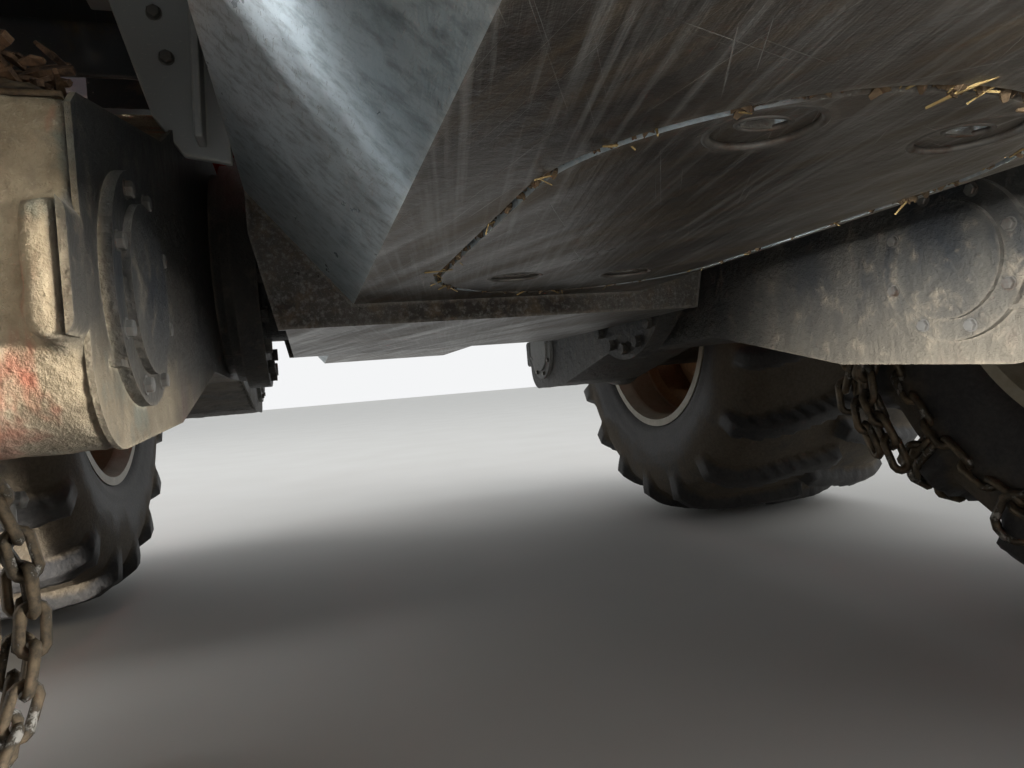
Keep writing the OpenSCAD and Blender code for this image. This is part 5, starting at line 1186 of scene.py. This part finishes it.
def frame_trim():
    """Bolts that hold the bunks and the rear plate, and teeth punched in the treads of the steps."""
    bolts, bunk_ys, bunk_top = [], (0.94, 2.087, 3.233, 4.38), 1.341
    for y in bunk_ys:
        bolts += bolt_heads([(s * 0.28, y + d, bunk_top) for s in (-1, 1) for d in (-0.05, 0.05)], 2, 1, 0.014)
    piece("bunk_bolts", bolts, "rear_frame", *STEEL, smooth=False)
    tooth = [(-0.001, 0.010), (0.003, 0.009), (0.004, 0.006), (0.001, 0.005), (0.0005, 0.001)]
    lowest, rise = 0.585, (1.080 - 0.560) / 3
    # Three treads, and where the teeth begin and end on each; the top one is shorter
    treads = [(0, 0.42, 0.75), (1, 0.42, 0.75), (2, 0.48, 0.70)]
    teeth = [lathe(tooth, (s * x, y, lowest + i * rise), 2, 10) for s in (-1, 1) for i, first, last in treads
             for x in np.arange(first, last, 0.042) for y in (-1.76, -1.73, -1.70)]
    piece("step_teeth", teeth, "front_frame", *STEEL)


# Guards and brackets round the front bogies

def sheet_metal(outline, y0, y1):
    """A flat plate: an outline in X and Z pushed along Y, with a fan of cells from its middle on each face."""
    outline = np.asarray(outline, float)
    n = len(outline)
    rings = [np.stack([outline[:, 0], np.full(n, y), outline[:, 1]], -1) for y in (y0, y1)]
    middle = [np.broadcast_to(ring.mean(0), ring.shape) + (ring - ring.mean(0)) * 1e-4 for ring in rings]
    return closed_shell(np.concatenate([middle[0], rings[0], rings[1], middle[1]]), cells(4, n, False, True))


def guards():
    """Ribbed splash guards between the tanks and the bogie boxes, and the tapered brackets that carry the tanks."""
    ribs, brackets, bolts = [], [], []
    wall_x, circle = 0.431, 0.083
    # Guard: x from 0.376 to 0.756; ribs pressed 12 mm deep every 105 mm, with a folded top edge
    u, v = np.meshgrid(np.linspace(0, 1, 90), np.linspace(0, 1, 40), indexing="ij")
    x = 0.376 + 0.38 * u
    z = 0.962 + 0.21 * v - 0.05 * step(u, 0.35, 0.0) * (1 - v)
    swage = 0.012 * np.exp(-(((x - 0.40) % 0.105 - 0.052) / 0.012) ** 2) * step(v, 0.06, 0.2) * step(v, 0.96, 0.82)
    y = -2.722 + swage - 0.05 * step(v, 0.90, 1.0)
    # Bracket: a tapered web, a rib down its middle and a flange under the tank
    plates = (([(0.374, 1.018), (0.505, 1.018), (0.462, 0.86), (0.43, 0.81), (0.374, 0.80)], -2.60, -2.588),
              ([(0.395, 1.018), (0.405, 1.018), (0.412, 0.82), (0.402, 0.82)], -2.588, -2.548),
              ([(0.39, 1.018), (0.53, 1.018), (0.53, 1.010), (0.39, 1.010)], -2.64, -2.53))
    for s in (-1, 1):
        face = np.stack([s * x, y, z], -1)
        back = face - (0, 0.004, 0)
        ribs.append(closed_shell(np.concatenate([face, back[:, ::-1]], 1), cells(90, 80, False, True)))
        brackets += [sheet_metal(np.array(outline) * (s, 1), y0, y1) for outline, y0, y1 in plates]
        bolts += bolt_heads([(s * 0.45, -2.588, 0.985), (s * 0.44, -2.588, 0.93)], 1, 1, 0.010)
        for cover_y in COVER_YS:
            heads = [(s * wall_x, cover_y + circle * math.cos(a), COVER_Z + circle * math.sin(a))
                     for a in np.arange(8) * math.pi / 4 + 0.3]
            bolts += bolt_heads(heads, 0, -s, 0.0085)
    piece("splash_guards", ribs, "front_frame", *GUARD)
    bevel(piece("tank_brackets", brackets, "front_frame", *POST), 0.003, 2)
    piece("cover_bolts", bolts, "front_frame", *STEEL, smooth=False)


def chain_shackle():
    """A shackle on the left tyre's inner ring: a half circle of 26 mm, straight legs, and a pin across their eyes."""
    a = np.linspace(-math.pi / 2, math.pi / 2, 24)
    bow = np.stack([0.026 * np.sin(a), 0 * a, -0.030 - 0.026 * np.cos(a)], -1)
    bow = np.concatenate([[(-0.026, 0, 0.012)], bow, [(0.026, 0, 0.012)]])
    points, faces = together([
        tube(spread(bow, 40), 0.008, 10, hint=(0, 1.0, 0)),
        tube([(-0.040, 0, 0.012), (0, 0, 0.012), (0.040, 0, 0.012)], 0.009, 10, hint=(0, 1.0, 0)),
        lathe([(-0.046, 0.001), (-0.046, 0.014), (-0.036, 0.014), (-0.036, 0.001)], (0, 0, 0.012), 0, 6)])
    turned = points @ np.array([[0.5, 0.866, 0], [-0.866, 0.5, 0], [0, 0, 1.0]])
    piece("chain_shackle", (turned + (0.742, -2.80, 0.375), faces), "front_frame", *STEEL)


# The machine

aim_camera()
for name, obj in NODES.items():
    obj.data.materials.clear()
    obj.data.materials.append(FINISH[SLOT_OF[name]])
wheels()
loose_ends()
cast_skin(1)
cast_skin(-1)
machined_collars()
litter()
hatch_litter()
washer_rings()
driver_seat()
cab_trim()
hood_trim()
crane_trim()
frame_trim()
guards()
chain_shackle()
light_stage()
